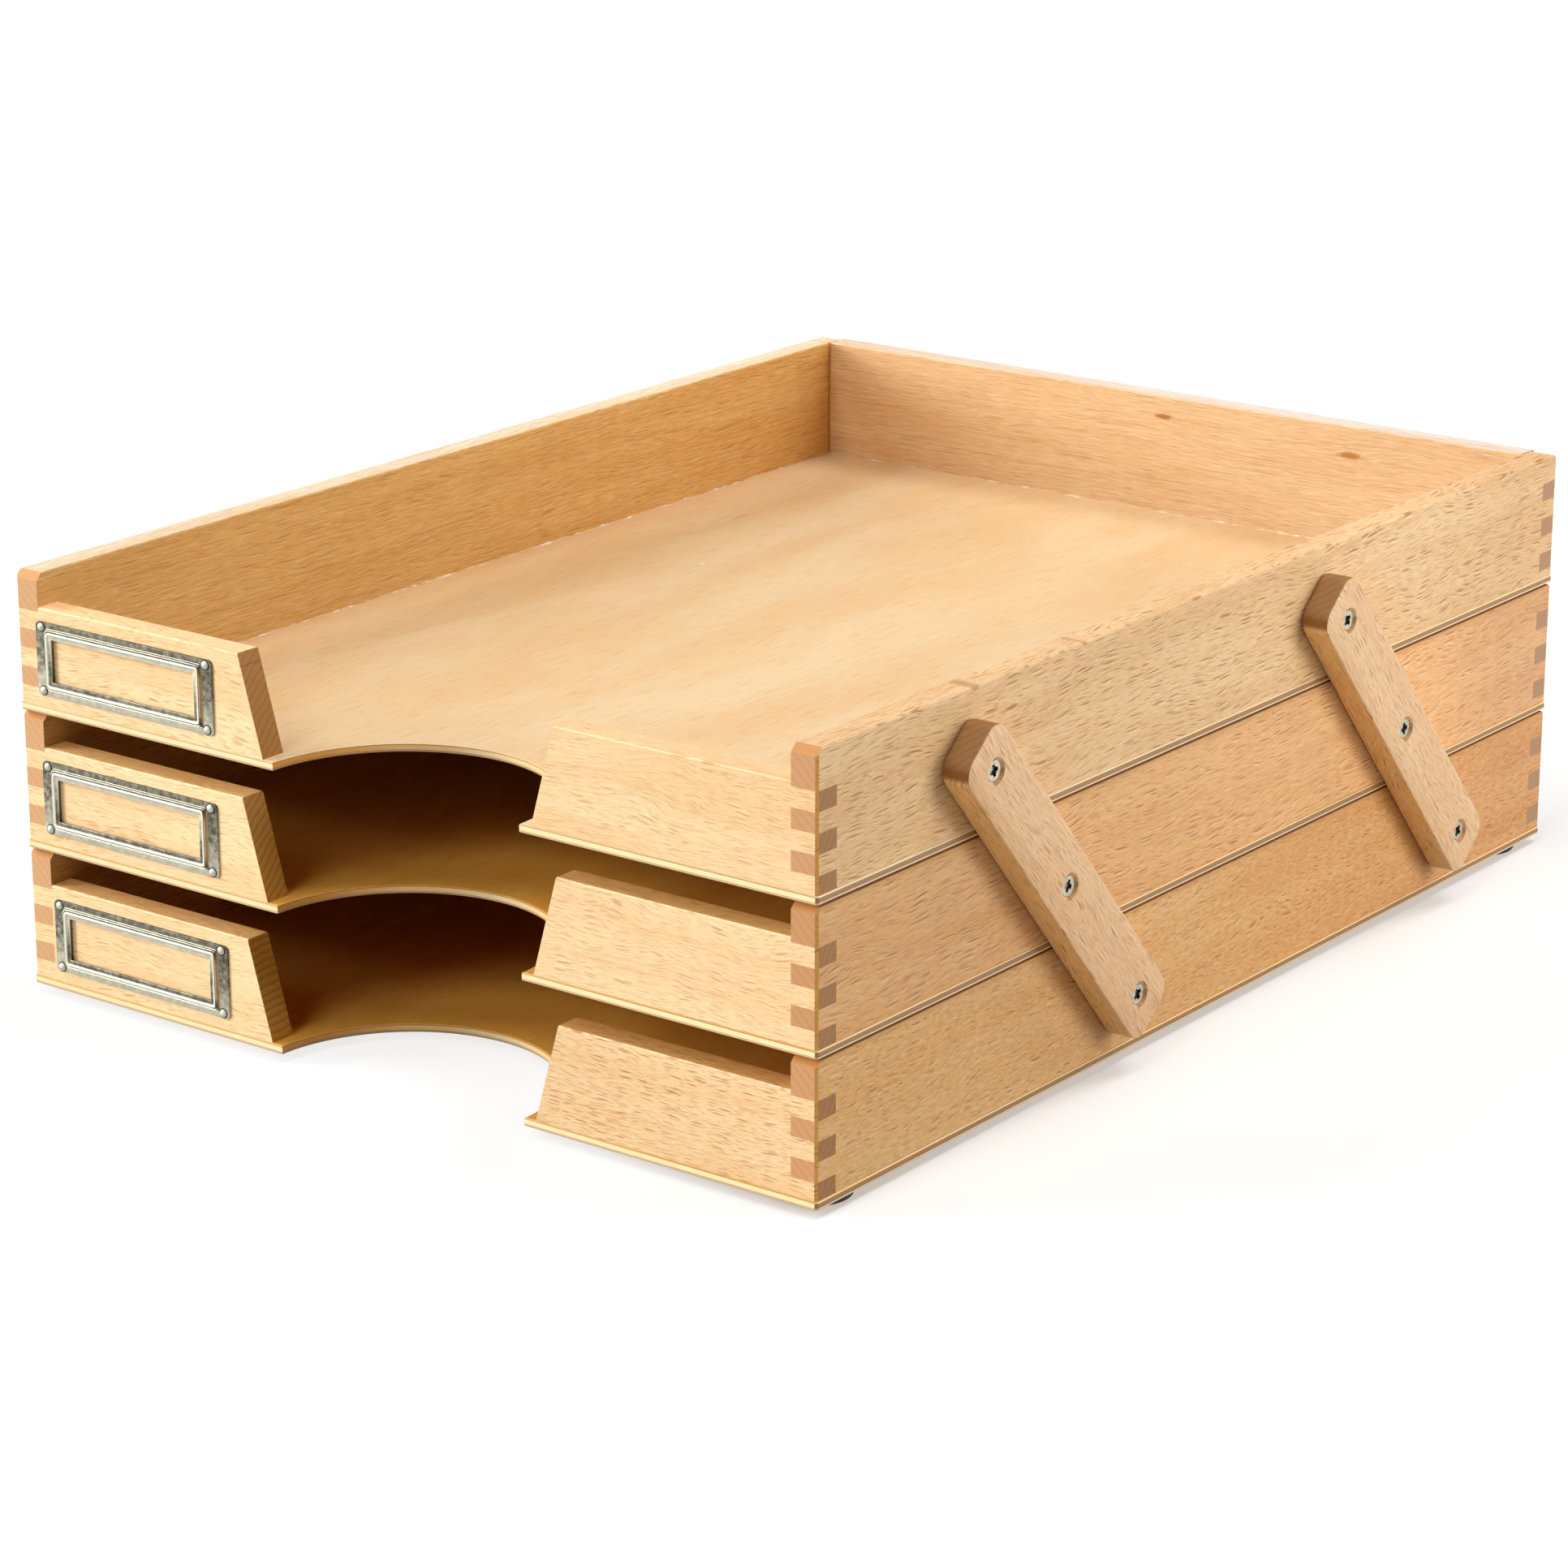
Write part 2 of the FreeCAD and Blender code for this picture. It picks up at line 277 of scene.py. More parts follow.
def marked(d: Draft, colour: Socket, along: Socket, across: Socket, marks: Sequence[Mark]) -> Socket:
    """Paints marks over a colour.

    Args:
        d: The tree to draw in.
        colour: The bare surface.
        along: The place along the grain, in millimetres.
        across: The place across the grain, in millimetres.
        marks: The marks to paint.

    Returns:
        The colour with its marks.
    """
    for mark in marks:
        out = d.sub(along, mark.along)
        side = d.sub(d.sub(across, mark.across), d.mul(out, mark.lean))
        place = d.join(d.mul(out, 2 / mark.long), d.mul(side, 2 / mark.tall), 0.0)
        frayed = d.mul_add(d.noise(d.join(along, across, 0.0), 2.0, 0.6), 0.8, d.vector("LENGTH", place))
        colour = d.blend(d.mul(d.step(frayed, 1.4, 0.7), mark.strength), colour, mark.colour)
    return colour


@dataclass(frozen=True)
class BeechLook:
    """How one beech board looks: colours as light as the bare surface, lengths in millimetres, angles in degrees.

    The tones tint the board along its length: at its low end, at its high end, and on top of that over its last part.
    """

    pale: Colour
    warm: Colour
    fleck: Colour
    arris: Colour
    end_pale: Colour
    end_dark: Colour
    fleck_length: float
    fleck_width: float
    fleck_strength: float
    fleck_share: float = 0.90
    edge: Colour = (1.0, 0.96, 0.96)
    mottle: float = 0.0
    streaks: float = 0.35
    wander: float = 9.0
    ring_turn: float = 45.0
    ring_width: float = 2.1
    # On the right sides the tones are partly painted light, lighter towards the rear; the last tone is painted shade
    low_tone: Colour = WHITE
    high_tone: Colour = WHITE
    painted_tail_shade: Colour = WHITE


class BeechGrain:
    """The node group that every beech finish shares: flecks, streaks, pores and end grain."""

    NAME = "beech grain"
    COLOURS = ("Pale", "Warm", "Fleck", "Edge", "Arris", "End Pale", "End Dark")
    FACINGS = ("Facing Along", "Facing Across")
    NUMBERS = ("Fleck Length", "Fleck Width", "Fleck Share", "Fleck Strength", "Mottle", "Streaks", "Wander",
               "Ring Turn", "Ring Width")

    # Sizes of the noises' bumps along, across and through the board, in millimetres
    SLOW_SWAY = (70.0, 22.0, 22.0)
    QUICK_SWAY = (11.0, 5.0, 5.0)
    RING_SWAY = (60.0, 9.0, 9.0)
    PORES = (1.2, 0.3, 0.3)
    FIGURE = (95.0, 9.0, 9.0)
    LINES = (38.0, 0.9, 2.4)
    PATCHES = (30.0, 5.0, 5.0)
    SPECKS = (2.6, 1.1, 1.1)
    FIBRE = 0.36

    # Tints that lie over the board's own colours
    LINE_SHADE = (0.66, 0.53, 0.42)
    FIBRE_SHADE = (0.76, 0.64, 0.50)
    FIBRE_LIGHT = (1.0, 0.90, 0.72)
    SPECK_SHADE = (0.70, 0.58, 0.42)
    SPECK_LIGHT = (1.0, 0.95, 0.85)
    GLINT = (1.0, 0.85, 0.60)
    POST_TOP = (0.84, 0.66, 0.32)

    QUICK_SHARE = 0.7
    THROUGH_SHARE = 0.5
    LATE_WOOD = 4.0
    RING_WAVER = 1.1

    SPINDLE_REACH = (0.15, 0.35)
    SPINDLE_DEPTH = (0.35, 1.0)
    SMALL_FLECK_SHIFT = (17.0, 0.0, 0.0)
    SMALL_FLECK_LENGTH = 0.6
    SMALL_FLECK_WIDTH = 0.50
    SMALL_FLECK_SHARE = 0.75
    GLINT_SHIFT = (0.0, 0.42, 0.0)

    def __init__(self) -> None:
        """Draws the group once."""
        self.tree = bpy.data.node_groups.new(self.NAME, "ShaderNodeTree")
        sockets = self.tree.interface
        sockets.new_socket("Point", in_out="INPUT", socket_type="NodeSocketVector")
        for name in self.COLOURS:
            sockets.new_socket(name, in_out="INPUT", socket_type="NodeSocketColor")
        for name in self.FACINGS + self.NUMBERS:
            sockets.new_socket(name, in_out="INPUT", socket_type="NodeSocketFloat")
        sockets.new_socket("Colour", in_out="OUTPUT", socket_type="NodeSocketColor")
        sockets.new_socket("Height", in_out="OUTPUT", socket_type="NodeSocketFloat")
        self.draft = Draft(self.tree)
        self.given = self.draft.node("NodeGroupInput").outputs
        self._draw()

    def _noise(self, point: Socket, bumps: tuple, detail: float = 2.0, roughness: float = 0.5) -> Socket:
        """Noise whose bumps have a size along, across and through the board."""
        d = self.draft
        return d.noise(d.vector("DIVIDE", point, d.join(*bumps)), detail, roughness)

    def _wandering(self) -> Socket:
        """The point with its across value swayed, so that the figure wanders along the board."""
        d, point = self.draft, self.given["Point"]
        slow = d.sub(self._noise(point, self.SLOW_SWAY), 0.5)
        quick = d.sub(self._noise(point, self.QUICK_SWAY), 0.5)
        sway = d.mul_add(slow, self.given["Wander"], d.mul(quick, self.QUICK_SHARE))
        return d.vector("ADD", point, d.join(0.0, sway, d.mul(sway, self.THROUGH_SHARE)))

    def _spindles(self, point: Socket, long: object, wide: object, share: object) -> Socket:
        """Spindle-shaped marks of many sizes and depths, some left out.

        Args:
            point: Where to look them up.
            long: The length of the cells that hold one mark each.
            wide: The width of those cells.
            share: The share of the cells that hold a mark.

        Returns:
            How deep a mark lies here, from 0 to 1.
        """
        d = self.draft
        along, across, through = d.split(point)
        girth = d.mul_add(through, 0.8, across)
        plane = d.join(d.div(along, long), d.div(girth, wide), 0.0)
        cells = d.node("ShaderNodeTexVoronoi", {"Vector": plane, "Scale": 1.0}, voronoi_dimensions="2D").outputs
        kept, _, strength = d.split(cells["Color"])
        size = d.step(d.add(kept, d.sub(share, 1.0)), 0.0, 0.8)
        least, most = self.SPINDLE_REACH
        reach = d.mul_add(size, most - least, least)
        left = d.sub(reach, cells["Distance"])
        inside = d.maths("MINIMUM", d.maths("MAXIMUM", d.div(left, d.mul(reach, 0.50)), 0.0), 1.0)
        faint, full = self.SPINDLE_DEPTH
        return d.mul(inside, d.mul_add(strength, full - faint, faint))

    def _end_grain(self) -> Socket:
        """Growth rings and pores, as cut across the fibres."""
        d, given = self.draft, self.given
        _, across, through = d.split(given["Point"])
        turn = given["Ring Turn"]
        out = d.add(d.mul(across, d.maths("COSINE", turn)), d.mul(through, d.maths("SINE", turn)))
        sway = d.mul(self._noise(given["Point"], self.RING_SWAY), self.RING_WAVER)
        ring = d.maths("FRACT", d.add(d.div(out, given["Ring Width"]), sway))
        late = d.maths("POWER", ring, self.LATE_WOOD)
        tone = d.mul_add(late, 0.62, d.mul(self._noise(given["Point"], self.PORES, 1.0), 0.45))
        return d.blend(tone, given["End Pale"], given["End Dark"])

    def _figure(self, point: Socket) -> tuple[Socket, Socket]:
        """The long grain without its flecks.

        Args:
            point: The wandering point.

        Returns:
            The colour, and the fibres' own noise.
        """
        d, given = self.draft, self.given
        figure = d.step(self._noise(point, self.FIGURE, 3.0, 0.55), 0.34, 0.66)
        lines = d.step(self._noise(point, self.LINES, 2.0, 0.6), 0.48, 0.80)
        fibres = self._noise(point, (d.mul(given["Fleck Length"], 0.42), self.FIBRE, self.FIBRE), 2.0, 0.6)
        specks = self._noise(given["Point"], self.SPECKS, 2.0, 0.6)
        colour = d.layered(
            d.blend(figure, given["Pale"], given["Warm"]),
            (d.mul(lines, given["Streaks"]), self.LINE_SHADE, "MULTIPLY"),
            (d.mul(d.step(fibres, 0.50, 0.70), 0.42), self.FIBRE_SHADE, "MULTIPLY"),
            (d.mul(d.step(fibres, 0.48, 0.30), 0.15), self.FIBRE_LIGHT, "SCREEN"),
            (d.mul(d.step(specks, 0.50, 0.72), given["Mottle"]), self.SPECK_SHADE, "MULTIPLY"),
            (d.mul(d.step(specks, 0.48, 0.28), d.mul(given["Mottle"], 0.4)), self.SPECK_LIGHT, "SCREEN"),
        )
        return colour, fibres

    def _face(self, point: Socket) -> tuple[Socket, Socket]:
        """The long grain with its flecks, each with a glint beside it.

        Args:
            point: The wandering point.

        Returns:
            The colour, and how deep fibres and flecks lie.
        """
        d, given = self.draft, self.given
        figure, fibres = self._figure(point)
        long, wide, share = given["Fleck Length"], given["Fleck Width"], given["Fleck Share"]
        marks = self._spindles(point, long, wide, share)
        small = self._spindles(d.vector("ADD", point, self.SMALL_FLECK_SHIFT),
                               d.mul(long, self.SMALL_FLECK_LENGTH), self.SMALL_FLECK_WIDTH, self.SMALL_FLECK_SHARE)
        glints = self._spindles(d.vector("ADD", point, self.GLINT_SHIFT), long, wide, share)
        patches = d.step(self._noise(point, self.PATCHES, 1.0), 0.30, 0.62)
        strong = d.mul(given["Fleck Strength"], d.mul_add(patches, 0.45, 0.55))
        colour = d.layered(
            figure,
            (d.mul(glints, d.mul(strong, 0.22)), self.GLINT, "SCREEN"),
            (d.mul(small, d.mul(strong, 0.60)), given["Fleck"], "MIX"),
            (d.mul(marks, strong), given["Fleck"], "MIX"),
        )
        return colour, d.mul_add(fibres, 0.5, d.mul(marks, 0.6))

    def _draw(self) -> None:
        """Mixes the face of the board, its edges and its end grain."""
        d, given = self.draft, self.given
        face, depth = self._face(self._wandering())
        across, along = d.size(given["Facing Across"]), d.size(given["Facing Along"])
        face = d.blend(d.step(across, 0.75, 0.95), face, d.blend(1.0, face, given["Edge"], "MULTIPLY"))
        post_top = d.blend(1.0, given["End Pale"], self.POST_TOP, "MULTIPLY")
        arris = d.blend(d.step(across, 0.25, 0.55), given["Arris"], post_top)
        arris = d.blend(d.step(depth, 0.0, 1.0), arris, given["End Dark"])
        cut = d.blend(d.step(along, 0.78, 0.93), arris, self._end_grain())
        colour = d.blend(d.step(along, 0.28, 0.62), face, cut)
        d.node("NodeGroupOutput", {"Colour": colour, "Height": d.mul(depth, -1.0)})


@dataclass(frozen=True)
class BeechFinish(Finish):
    """Matt-lacquered beech on one board.

    The covered line is where the tray above touches the board's outer face, as a height in millimetres.
    """

    name: str
    grain: Grain
    group: bpy.types.NodeTree
    look: BeechLook
    seed: float
    lean: float = 0.0
    marks: tuple[Mark, ...] = ()
    # Just below the covered line the board's faces get painted shade
    covered: float | None = None
    outer_tint: Colour | None = None

    SEED_STEP = Vector((137.0, 71.0, 53.0))
    TONED = (-160.0, 160.0)
    TAIL_SHADE_SPAN = (85.0, 165.0)
    # Painted shade in bands under the covered line: how far below it they start and are full, how strong, and their
    # colour
    SHADE_BAND = (2.4, 0.8, 0.45, (0.50, 0.25, 0.06))
    SHADOW_LINE = (0.62, 0.30, 0.88, (0.13, 0.035, 0.0))
    RELIEF = 0.02

    def _axes(self) -> tuple[Vector, Vector, Vector]:
        """Unit vectors along the fibres, across the board's face and through the board."""
        along = {Grain.ALONG_X: Vector((1, 0, 0)), Grain.ALONG_Y: Vector((0, 1, 0)),
                 Grain.ALONG_BAR: Vector((0, -math.sin(self.lean), math.cos(self.lean)))}[self.grain]
        through = Vector((0, 1, 0)) if self.grain is Grain.ALONG_X else Vector((1, 0, 0))
        return along, through.cross(along), through

    def _figure(self, d: Draft, spot: list[Socket], facing: list[Socket]) -> Sockets:
        """The shared grain with this board's look.

        Args:
            d: The material's tree.
            spot: The place along, across and through the board, in millimetres.
            facing: How far the surface faces along, across and through the board.

        Returns:
            The group's colour and height.
        """
        look = self.look
        offsets = self.SEED_STEP * self.seed
        names = BeechGrain.COLOURS + BeechGrain.NUMBERS
        named = {name: getattr(look, name.lower().replace(" ", "_")) for name in names}
        named |= {"Point": d.join(*[d.add(number, offset) for number, offset in zip(spot, offsets)]),
                  "Facing Along": facing[0], "Facing Across": facing[1], "Ring Turn": math.radians(look.ring_turn)}
        return d.node("ShaderNodeGroup", named, node_tree=self.group).outputs

    def surface(self, d: Draft, place: Sockets) -> dict:
        """Lays the grain along this board, tones it, and paints its marks.

        Args:
            d: The material's tree.
            place: The coordinates of the shaded point.

        Returns:
            Values for the surface shader by input name.
        """
        axes = self._axes()
        spot = [d.mul(d.vector("DOT_PRODUCT", place["Object"], tuple(axis)), 1 / MM) for axis in axes]
        facing = [d.vector("DOT_PRODUCT", place["Normal"], tuple(axis)) for axis in axes]
        figure, height = self._figure(d, spot, facing)
        look = self.look
        # Tones along the board; on the right sides they paint light, and the last part's tone paints shade at the rear
        # end
        last = tuple(own * more for own, more in zip(look.high_tone, look.painted_tail_shade))
        tone = d.blend(d.step(spot[0], *self.TONED), look.low_tone, look.high_tone)
        plain = d.blend(1.0, figure, d.blend(d.step(spot[0], *self.TAIL_SHADE_SPAN), tone, last), "MULTIPLY")
        colour = marked(d, plain, spot[0], spot[1], self.marks)
        # A board whose colours hold painted shade for its inner face gets its outer face tinted lighter
        if self.outer_tint is not None:
            outward = d.step(facing[2], -0.2, -0.6)
            colour = d.blend(outward, colour, d.blend(1.0, plain, self.outer_tint, "MULTIPLY"))
        # Painted shade just under the covered line, on the board's outer and inner faces
        if self.covered is not None:
            face = d.step(d.size(facing[2]), 0.2, 0.5)
            for low, high, strength, shade in (self.SHADE_BAND, self.SHADOW_LINE):
                band = d.mul(d.step(spot[1], self.covered - low, self.covered - high), face)
                colour = d.blend(d.mul(band, strength), colour, shade)
        bump = d.node("ShaderNodeBump", {"Strength": 0.5, "Distance": self.RELIEF * MM, "Height": height})
        return {"Base Color": colour, "Roughness": d.mul_add(height, -0.10, 0.44), "Normal": bump.outputs[0],
                "Specular IOR Level": 0.30}


@dataclass(frozen=True)
class PlyFinish(Finish):
    """Lacquered three-ply: a quiet rotary-cut face, and layers on its edges. Lengths in millimetres."""

    name: str
    base: float
    thickness: float
    seed: float
    pale: Colour = (0.80, 0.59, 0.345)
    warm: Colour = (0.77, 0.51, 0.255)
    core_long: Colour = (0.97, 0.74, 0.39)
    core_turned: Colour = (1.0, 0.63, 0.24)
    core_golden: Colour = (0.86, 0.40, 0.08)
    core_end: Colour = (0.25, 0.13, 0.036)
    veneer_long: Colour = (0.92, 0.68, 0.42)
    veneer_end: Colour = (0.48, 0.26, 0.075)
    fibre_shade: Colour = (0.84, 0.73, 0.56)
    dash: Colour = (0.62, 0.38, 0.17)
    glue_line: Colour = (0.30, 0.14, 0.05)
    # Painted shadow of the gap between trays, along the bottom of the edge
    gap_shadow: Colour = (0.10, 0.03, 0.01)
    lower_veneer: float = 0.54
    upper_veneer: float = 0.44
    glue: float = 0.12
    marks: tuple[Mark, ...] = ()

    SEED_STEP = Vector((211.0, 97.0, 0.0))
    BESIDE_SCOOP = (90.0, 110.0)

    # Bumps in a millimetre across and along the face's fibres, and the layer of the noise
    SWAY = (0.02, 0.009, 0.0)
    BROAD = (0.035, 0.007, 0.0)
    FIBRES = (1.1, 0.09, 3.0)
    DASHES = (0.35, 0.09, 5.0)
    SWAY_REACH = 60.0
    QUIET = 0.15

    # Bumps in a millimetre along X, Y and Z
    GRIT = (1.1, 1.1, 3.0)
    STREAKS = (0.16, 0.16, 5.0)
    RELIEF = (0.8, 0.07, 0.8)

    def _face(self, d: Draft, point: Socket) -> Socket:
        """The colour of the flat face.

        Args:
            d: The material's tree.
            point: The place in millimetres, shifted by the seed.

        Returns:
            The colour.
        """
        x, y, _ = d.split(point)
        sway = d.mul(d.sub(d.noise(d.scaled(point, self.SWAY)), 0.5), self.SWAY_REACH)
        swaying, quiet = d.add(x, sway), d.mul_add(sway, self.QUIET, x)
        broad, fibres, dashes = (
            d.join(d.mul(across, bumps[0]), d.mul(y, bumps[1]), bumps[2])
            for across, bumps in ((swaying, self.BROAD), (quiet, self.FIBRES), (quiet, self.DASHES))
        )
        broad, fibres = d.noise(broad, 3.0, 0.6), d.noise(fibres, 3.0, 0.70)
        distance, shade = d.cells(dashes)
        kept, strength, _ = d.split(shade)
        marks = d.step(d.sub(d.mul(d.step(kept, 0.62, 1.0), 0.20), distance), 0.0, 0.12)
        return d.layered(
            d.blend(d.step(broad, 0.34, 0.66), self.pale, self.warm),
            (d.mul(d.step(fibres, 0.50, 0.66), 0.60), self.fibre_shade, "MULTIPLY"),
            (d.mul(marks, d.mul(strength, 0.5)), self.dash, "MIX"),
        )

    def _core(self, d: Draft, point: Socket, turned: Socket, sideways: Socket) -> Socket:
        """The colour of the core, whose fibres cross the veneers'.

        Args:
            d: The material's tree.
            point: The place in millimetres.
            turned: How far the edge faces left or right.
            sideways: 1 on the panel's left and right edges, 0 elsewhere.

        Returns:
            The colour.
        """
        grit = d.noise(d.scaled(point, self.GRIT), 2.0, 0.6)
        streak = d.step(d.noise(d.scaled(point, self.STREAKS), 2.0, 0.5), 0.35, 0.70)
        end = d.blend(grit, self.core_end, tuple(1.5 * c for c in self.core_end))
        long = d.blend(streak, self.core_long, tuple(0.88 * c for c in self.core_long))
        curve = d.blend(d.step(turned, 0.12, 0.50), long, self.core_turned)
        curve = d.blend(d.step(turned, 0.60, 0.98), curve, self.core_golden)
        return d.blend(sideways, curve, end)

    def _edge(self, d: Draft, point: Socket, normal: Socket) -> Socket:
        """The colour of the edge: veneers above and below the core, and a painted shadow along its bottom.

        Args:
            d: The material's tree.
            point: The place in millimetres.
            normal: Where the surface faces.

        Returns:
            The colour.
        """
        height = d.sub(d.split(point)[2], self.base)
        turned = d.size(d.split(normal)[0])
        sideways = d.mul(d.step(d.size(d.split(point)[0]), *self.BESIDE_SCOOP), d.step(turned, 0.30, 0.80))
        veneer = d.blend(sideways, self.veneer_end, self.veneer_long)
        top = self.thickness - self.upper_veneer
        above = d.step(height, top - self.glue / 2, top + self.glue / 2)
        below = d.step(height, self.lower_veneer + self.glue / 2, self.lower_veneer - self.glue / 2)
        lower = d.blend(d.mul_add(sideways, -0.35, 0.5), veneer, self.veneer_long)
        line = d.step(d.size(d.sub(height, self.lower_veneer)), self.glue, 0.0)
        return d.layered(
            self._core(d, point, turned, sideways),
            (above, veneer, "MIX"),
            (below, lower, "MIX"),
            (d.mul(line, 0.75), self.glue_line, "MIX"),
            # Painted shadow along the bottom of the edge
            (d.mul(d.step(height, 0.24, 0.12), 0.9), self.gap_shadow, "MIX"),
        )

    def surface(self, d: Draft, place: Sockets) -> dict:
        """Parts the face of a panel that lies flat from its edge.

        Args:
            d: The material's tree.
            place: The coordinates of the shaded point.

        Returns:
            Values for the surface shader by input name.
        """
        point = d.millimetres(place)
        shifted = d.vector("ADD", point, tuple(self.SEED_STEP * self.seed))
        flat = d.step(d.size(d.split(place["Normal"])[2]), 0.55, 0.85)
        x, y, _ = d.split(point)
        face = marked(d, self._face(d, shifted), y, x, self.marks)
        colour = d.blend(flat, self._edge(d, point, place["Normal"]), face)
        relief = d.noise(d.scaled(shifted, self.RELIEF), 2.0, 0.6)
        bump = d.node("ShaderNodeBump", {"Strength": 0.35, "Distance": 0.08 * MM, "Height": relief})
        return {"Base Color": colour, "Roughness": d.mul_add(relief, 0.16, 0.34), "Normal": bump.outputs[0],
                "Specular IOR Level": 0.4}


@dataclass(frozen=True)
class SteelFinish(Finish):
    """Plated steel, mottled by handling, with the painted highlights and painted shade that its mesh carries."""

    name: str
    dark: Colour
    light: Colour
    # The colour of painted highlights
    bright: Colour
    roughness: float
    blotch: float = 1.6
    # The colour of painted shade
    shadow_paint: Colour = (0.035, 0.033, 0.028)

    def surface(self, d: Draft, place: Sockets) -> dict:
        """A metal that follows its mesh's painted light, from -1 for painted shade to 1 for a painted highlight.

        Args:
            d: The material's tree.
            place: The coordinates of the shaded point.

        Returns:
            Values for the surface shader by input name.
        """
        point = d.millimetres(place)
        broad = d.noise(d.scaled(point, (1 / self.blotch,) * 3), 3.0, 0.65)
        specks = d.noise(d.scaled(point, (1.0, 1.0, 2.0)), 3.0, 0.65)
        rubbed = d.node("ShaderNodeAttribute", attribute_name="rubbed").outputs["Fac"]
        colour = d.blend(d.step(broad, 0.35, 0.68), self.dark, self.light)
        colour = d.blend(d.mul(d.step(specks, 0.52, 0.64), 0.50), colour, self.dark)
        # Painted highlights where the mesh's painted light is above 0, painted shade where it is below
        colour = d.blend(d.maths("MAXIMUM", rubbed, 0.0), colour, self.bright)
        colour = d.blend(d.maths("MAXIMUM", d.mul(rubbed, -1.0), 0.0), colour, self.shadow_paint)
        rough = d.mul_add(broad, 0.25, self.roughness)
        bump = d.node("ShaderNodeBump", {"Strength": 0.3, "Distance": 0.02 * MM, "Height": specks})
        return {"Base Color": colour, "Metallic": 1.0, "Roughness": rough, "Normal": bump.outputs[0]}


@dataclass(frozen=True)
class GlueFinish(Finish):
    """Dried wood glue, pale where it is thick."""

    name: str = "dry glue"
    thick: Colour = (0.92, 0.80, 0.68)
    thin: Colour = (0.74, 0.47, 0.24)

    def surface(self, d: Draft, place: Sockets) -> dict:
        """A patchy pale finish.

        Args:
            d: The material's tree.
            place: The coordinates of the shaded point.

        Returns:
            Values for the surface shader by input name.
        """
        patches = d.noise(d.scaled(d.millimetres(place), (0.16,) * 3), 3.0, 0.7)
        return {"Base Color": d.blend(d.step(patches, 0.50, 0.66), self.thin, self.thick),
                "Roughness": d.mul_add(patches, 0.2, 0.35)}


@dataclass(frozen=True)
class RubberFinish(Finish):
    """Matt black rubber with a dusty bloom."""

    name: str = "black rubber"
    black: Colour = (0.012, 0.012, 0.013)
    dust: Colour = (0.05, 0.048, 0.045)

    def surface(self, d: Draft, place: Sockets) -> dict:
        """A dull, slightly pitted black.

        Args:
            d: The material's tree.
            place: The coordinates of the shaded point.

        Returns:
            Values for the surface shader by input name.
        """
        point = d.millimetres(place)
        bloom = d.noise(d.scaled(point, (0.5,) * 3), 3.0, 0.6)
        pits = d.noise(d.scaled(point, (4.0,) * 3), 1.0)
        bump = d.node("ShaderNodeBump", {"Strength": 0.3, "Distance": 0.08 * MM, "Height": pits})
        return {"Base Color": d.blend(d.step(bloom, 0.4, 0.8), self.black, self.dust),
                "Roughness": d.mul_add(bloom, 0.2, 0.6), "Normal": bump.outputs[0]}


# ------------------------------------------------------------------------------------------------ mesh helpers


def coat(piece: bpy.types.Object, material: bpy.types.Material) -> None:
    """Gives a piece its one material."""
    piece.data.materials.clear()
    piece.data.materials.append(material)


def dress(piece: bpy.types.Object, material: bpy.types.Material) -> None:
    """Gives a piece its one material."""
    coat(piece, material)


def smooth(mesh: bpy.types.Mesh, angle: float = SHARP_ANGLE) -> None:
    """Shades a mesh smoothly up to an angle in degrees, past which an edge stays sharp."""
    mesh.polygons.foreach_set("use_smooth", [True] * len(mesh.polygons))
    mesh.set_sharp_from_angle(angle=math.radians(angle))


def paint_light(mesh: bpy.types.Mesh, values: Sequence[float]) -> None:
    """Stores the painted light of each point of a mesh, from -1 for painted shade to 1 for a painted highlight."""
    mesh.attributes.new("rubbed", "FLOAT", "POINT").data.foreach_set("value", values)


def object_of(name: str, data: bpy.types.ID) -> bpy.types.Object:
    """Links a new object.

    Args:
        name: The object's name.
        data: The mesh, light or camera that it shows.

    Returns:
        The object.
    """
    made = bpy.data.objects.new(name, data)
    bpy.context.scene.collection.objects.link(made)
    return made


def rings_mesh(name: str, rings: Sequence[Sequence[Vector]], closed: bool) -> bpy.types.Mesh:
    """Skins a row of rings that all have the same number of points.

    Args:
        name: The mesh's name.
        rings: Rings of points, in order.
        closed: True joins the last ring to the first, False caps both ends with a flat face.

    Returns:
        A closed mesh with its faces turned outwards.
    """
    shape = bmesh.new()
    rows = [[shape.verts.new(point) for point in ring] for ring in rings]
    count = len(rows[0])
    pairs = list(zip(rows, rows[1:])) + ([(rows[-1], rows[0])] if closed else [])
    for low, high in pairs:
        for k in range(count):
            shape.faces.new((low[k], low[(k + 1) % count], high[(k + 1) % count], high[k]))
    if not closed:
        shape.faces.new(rows[0][::-1])
        shape.faces.new(rows[-1])
    bmesh.ops.recalc_face_normals(shape, faces=shape.faces)
    mesh = bpy.data.meshes.new(name)
    shape.to_mesh(mesh)
    shape.free()
    return mesh


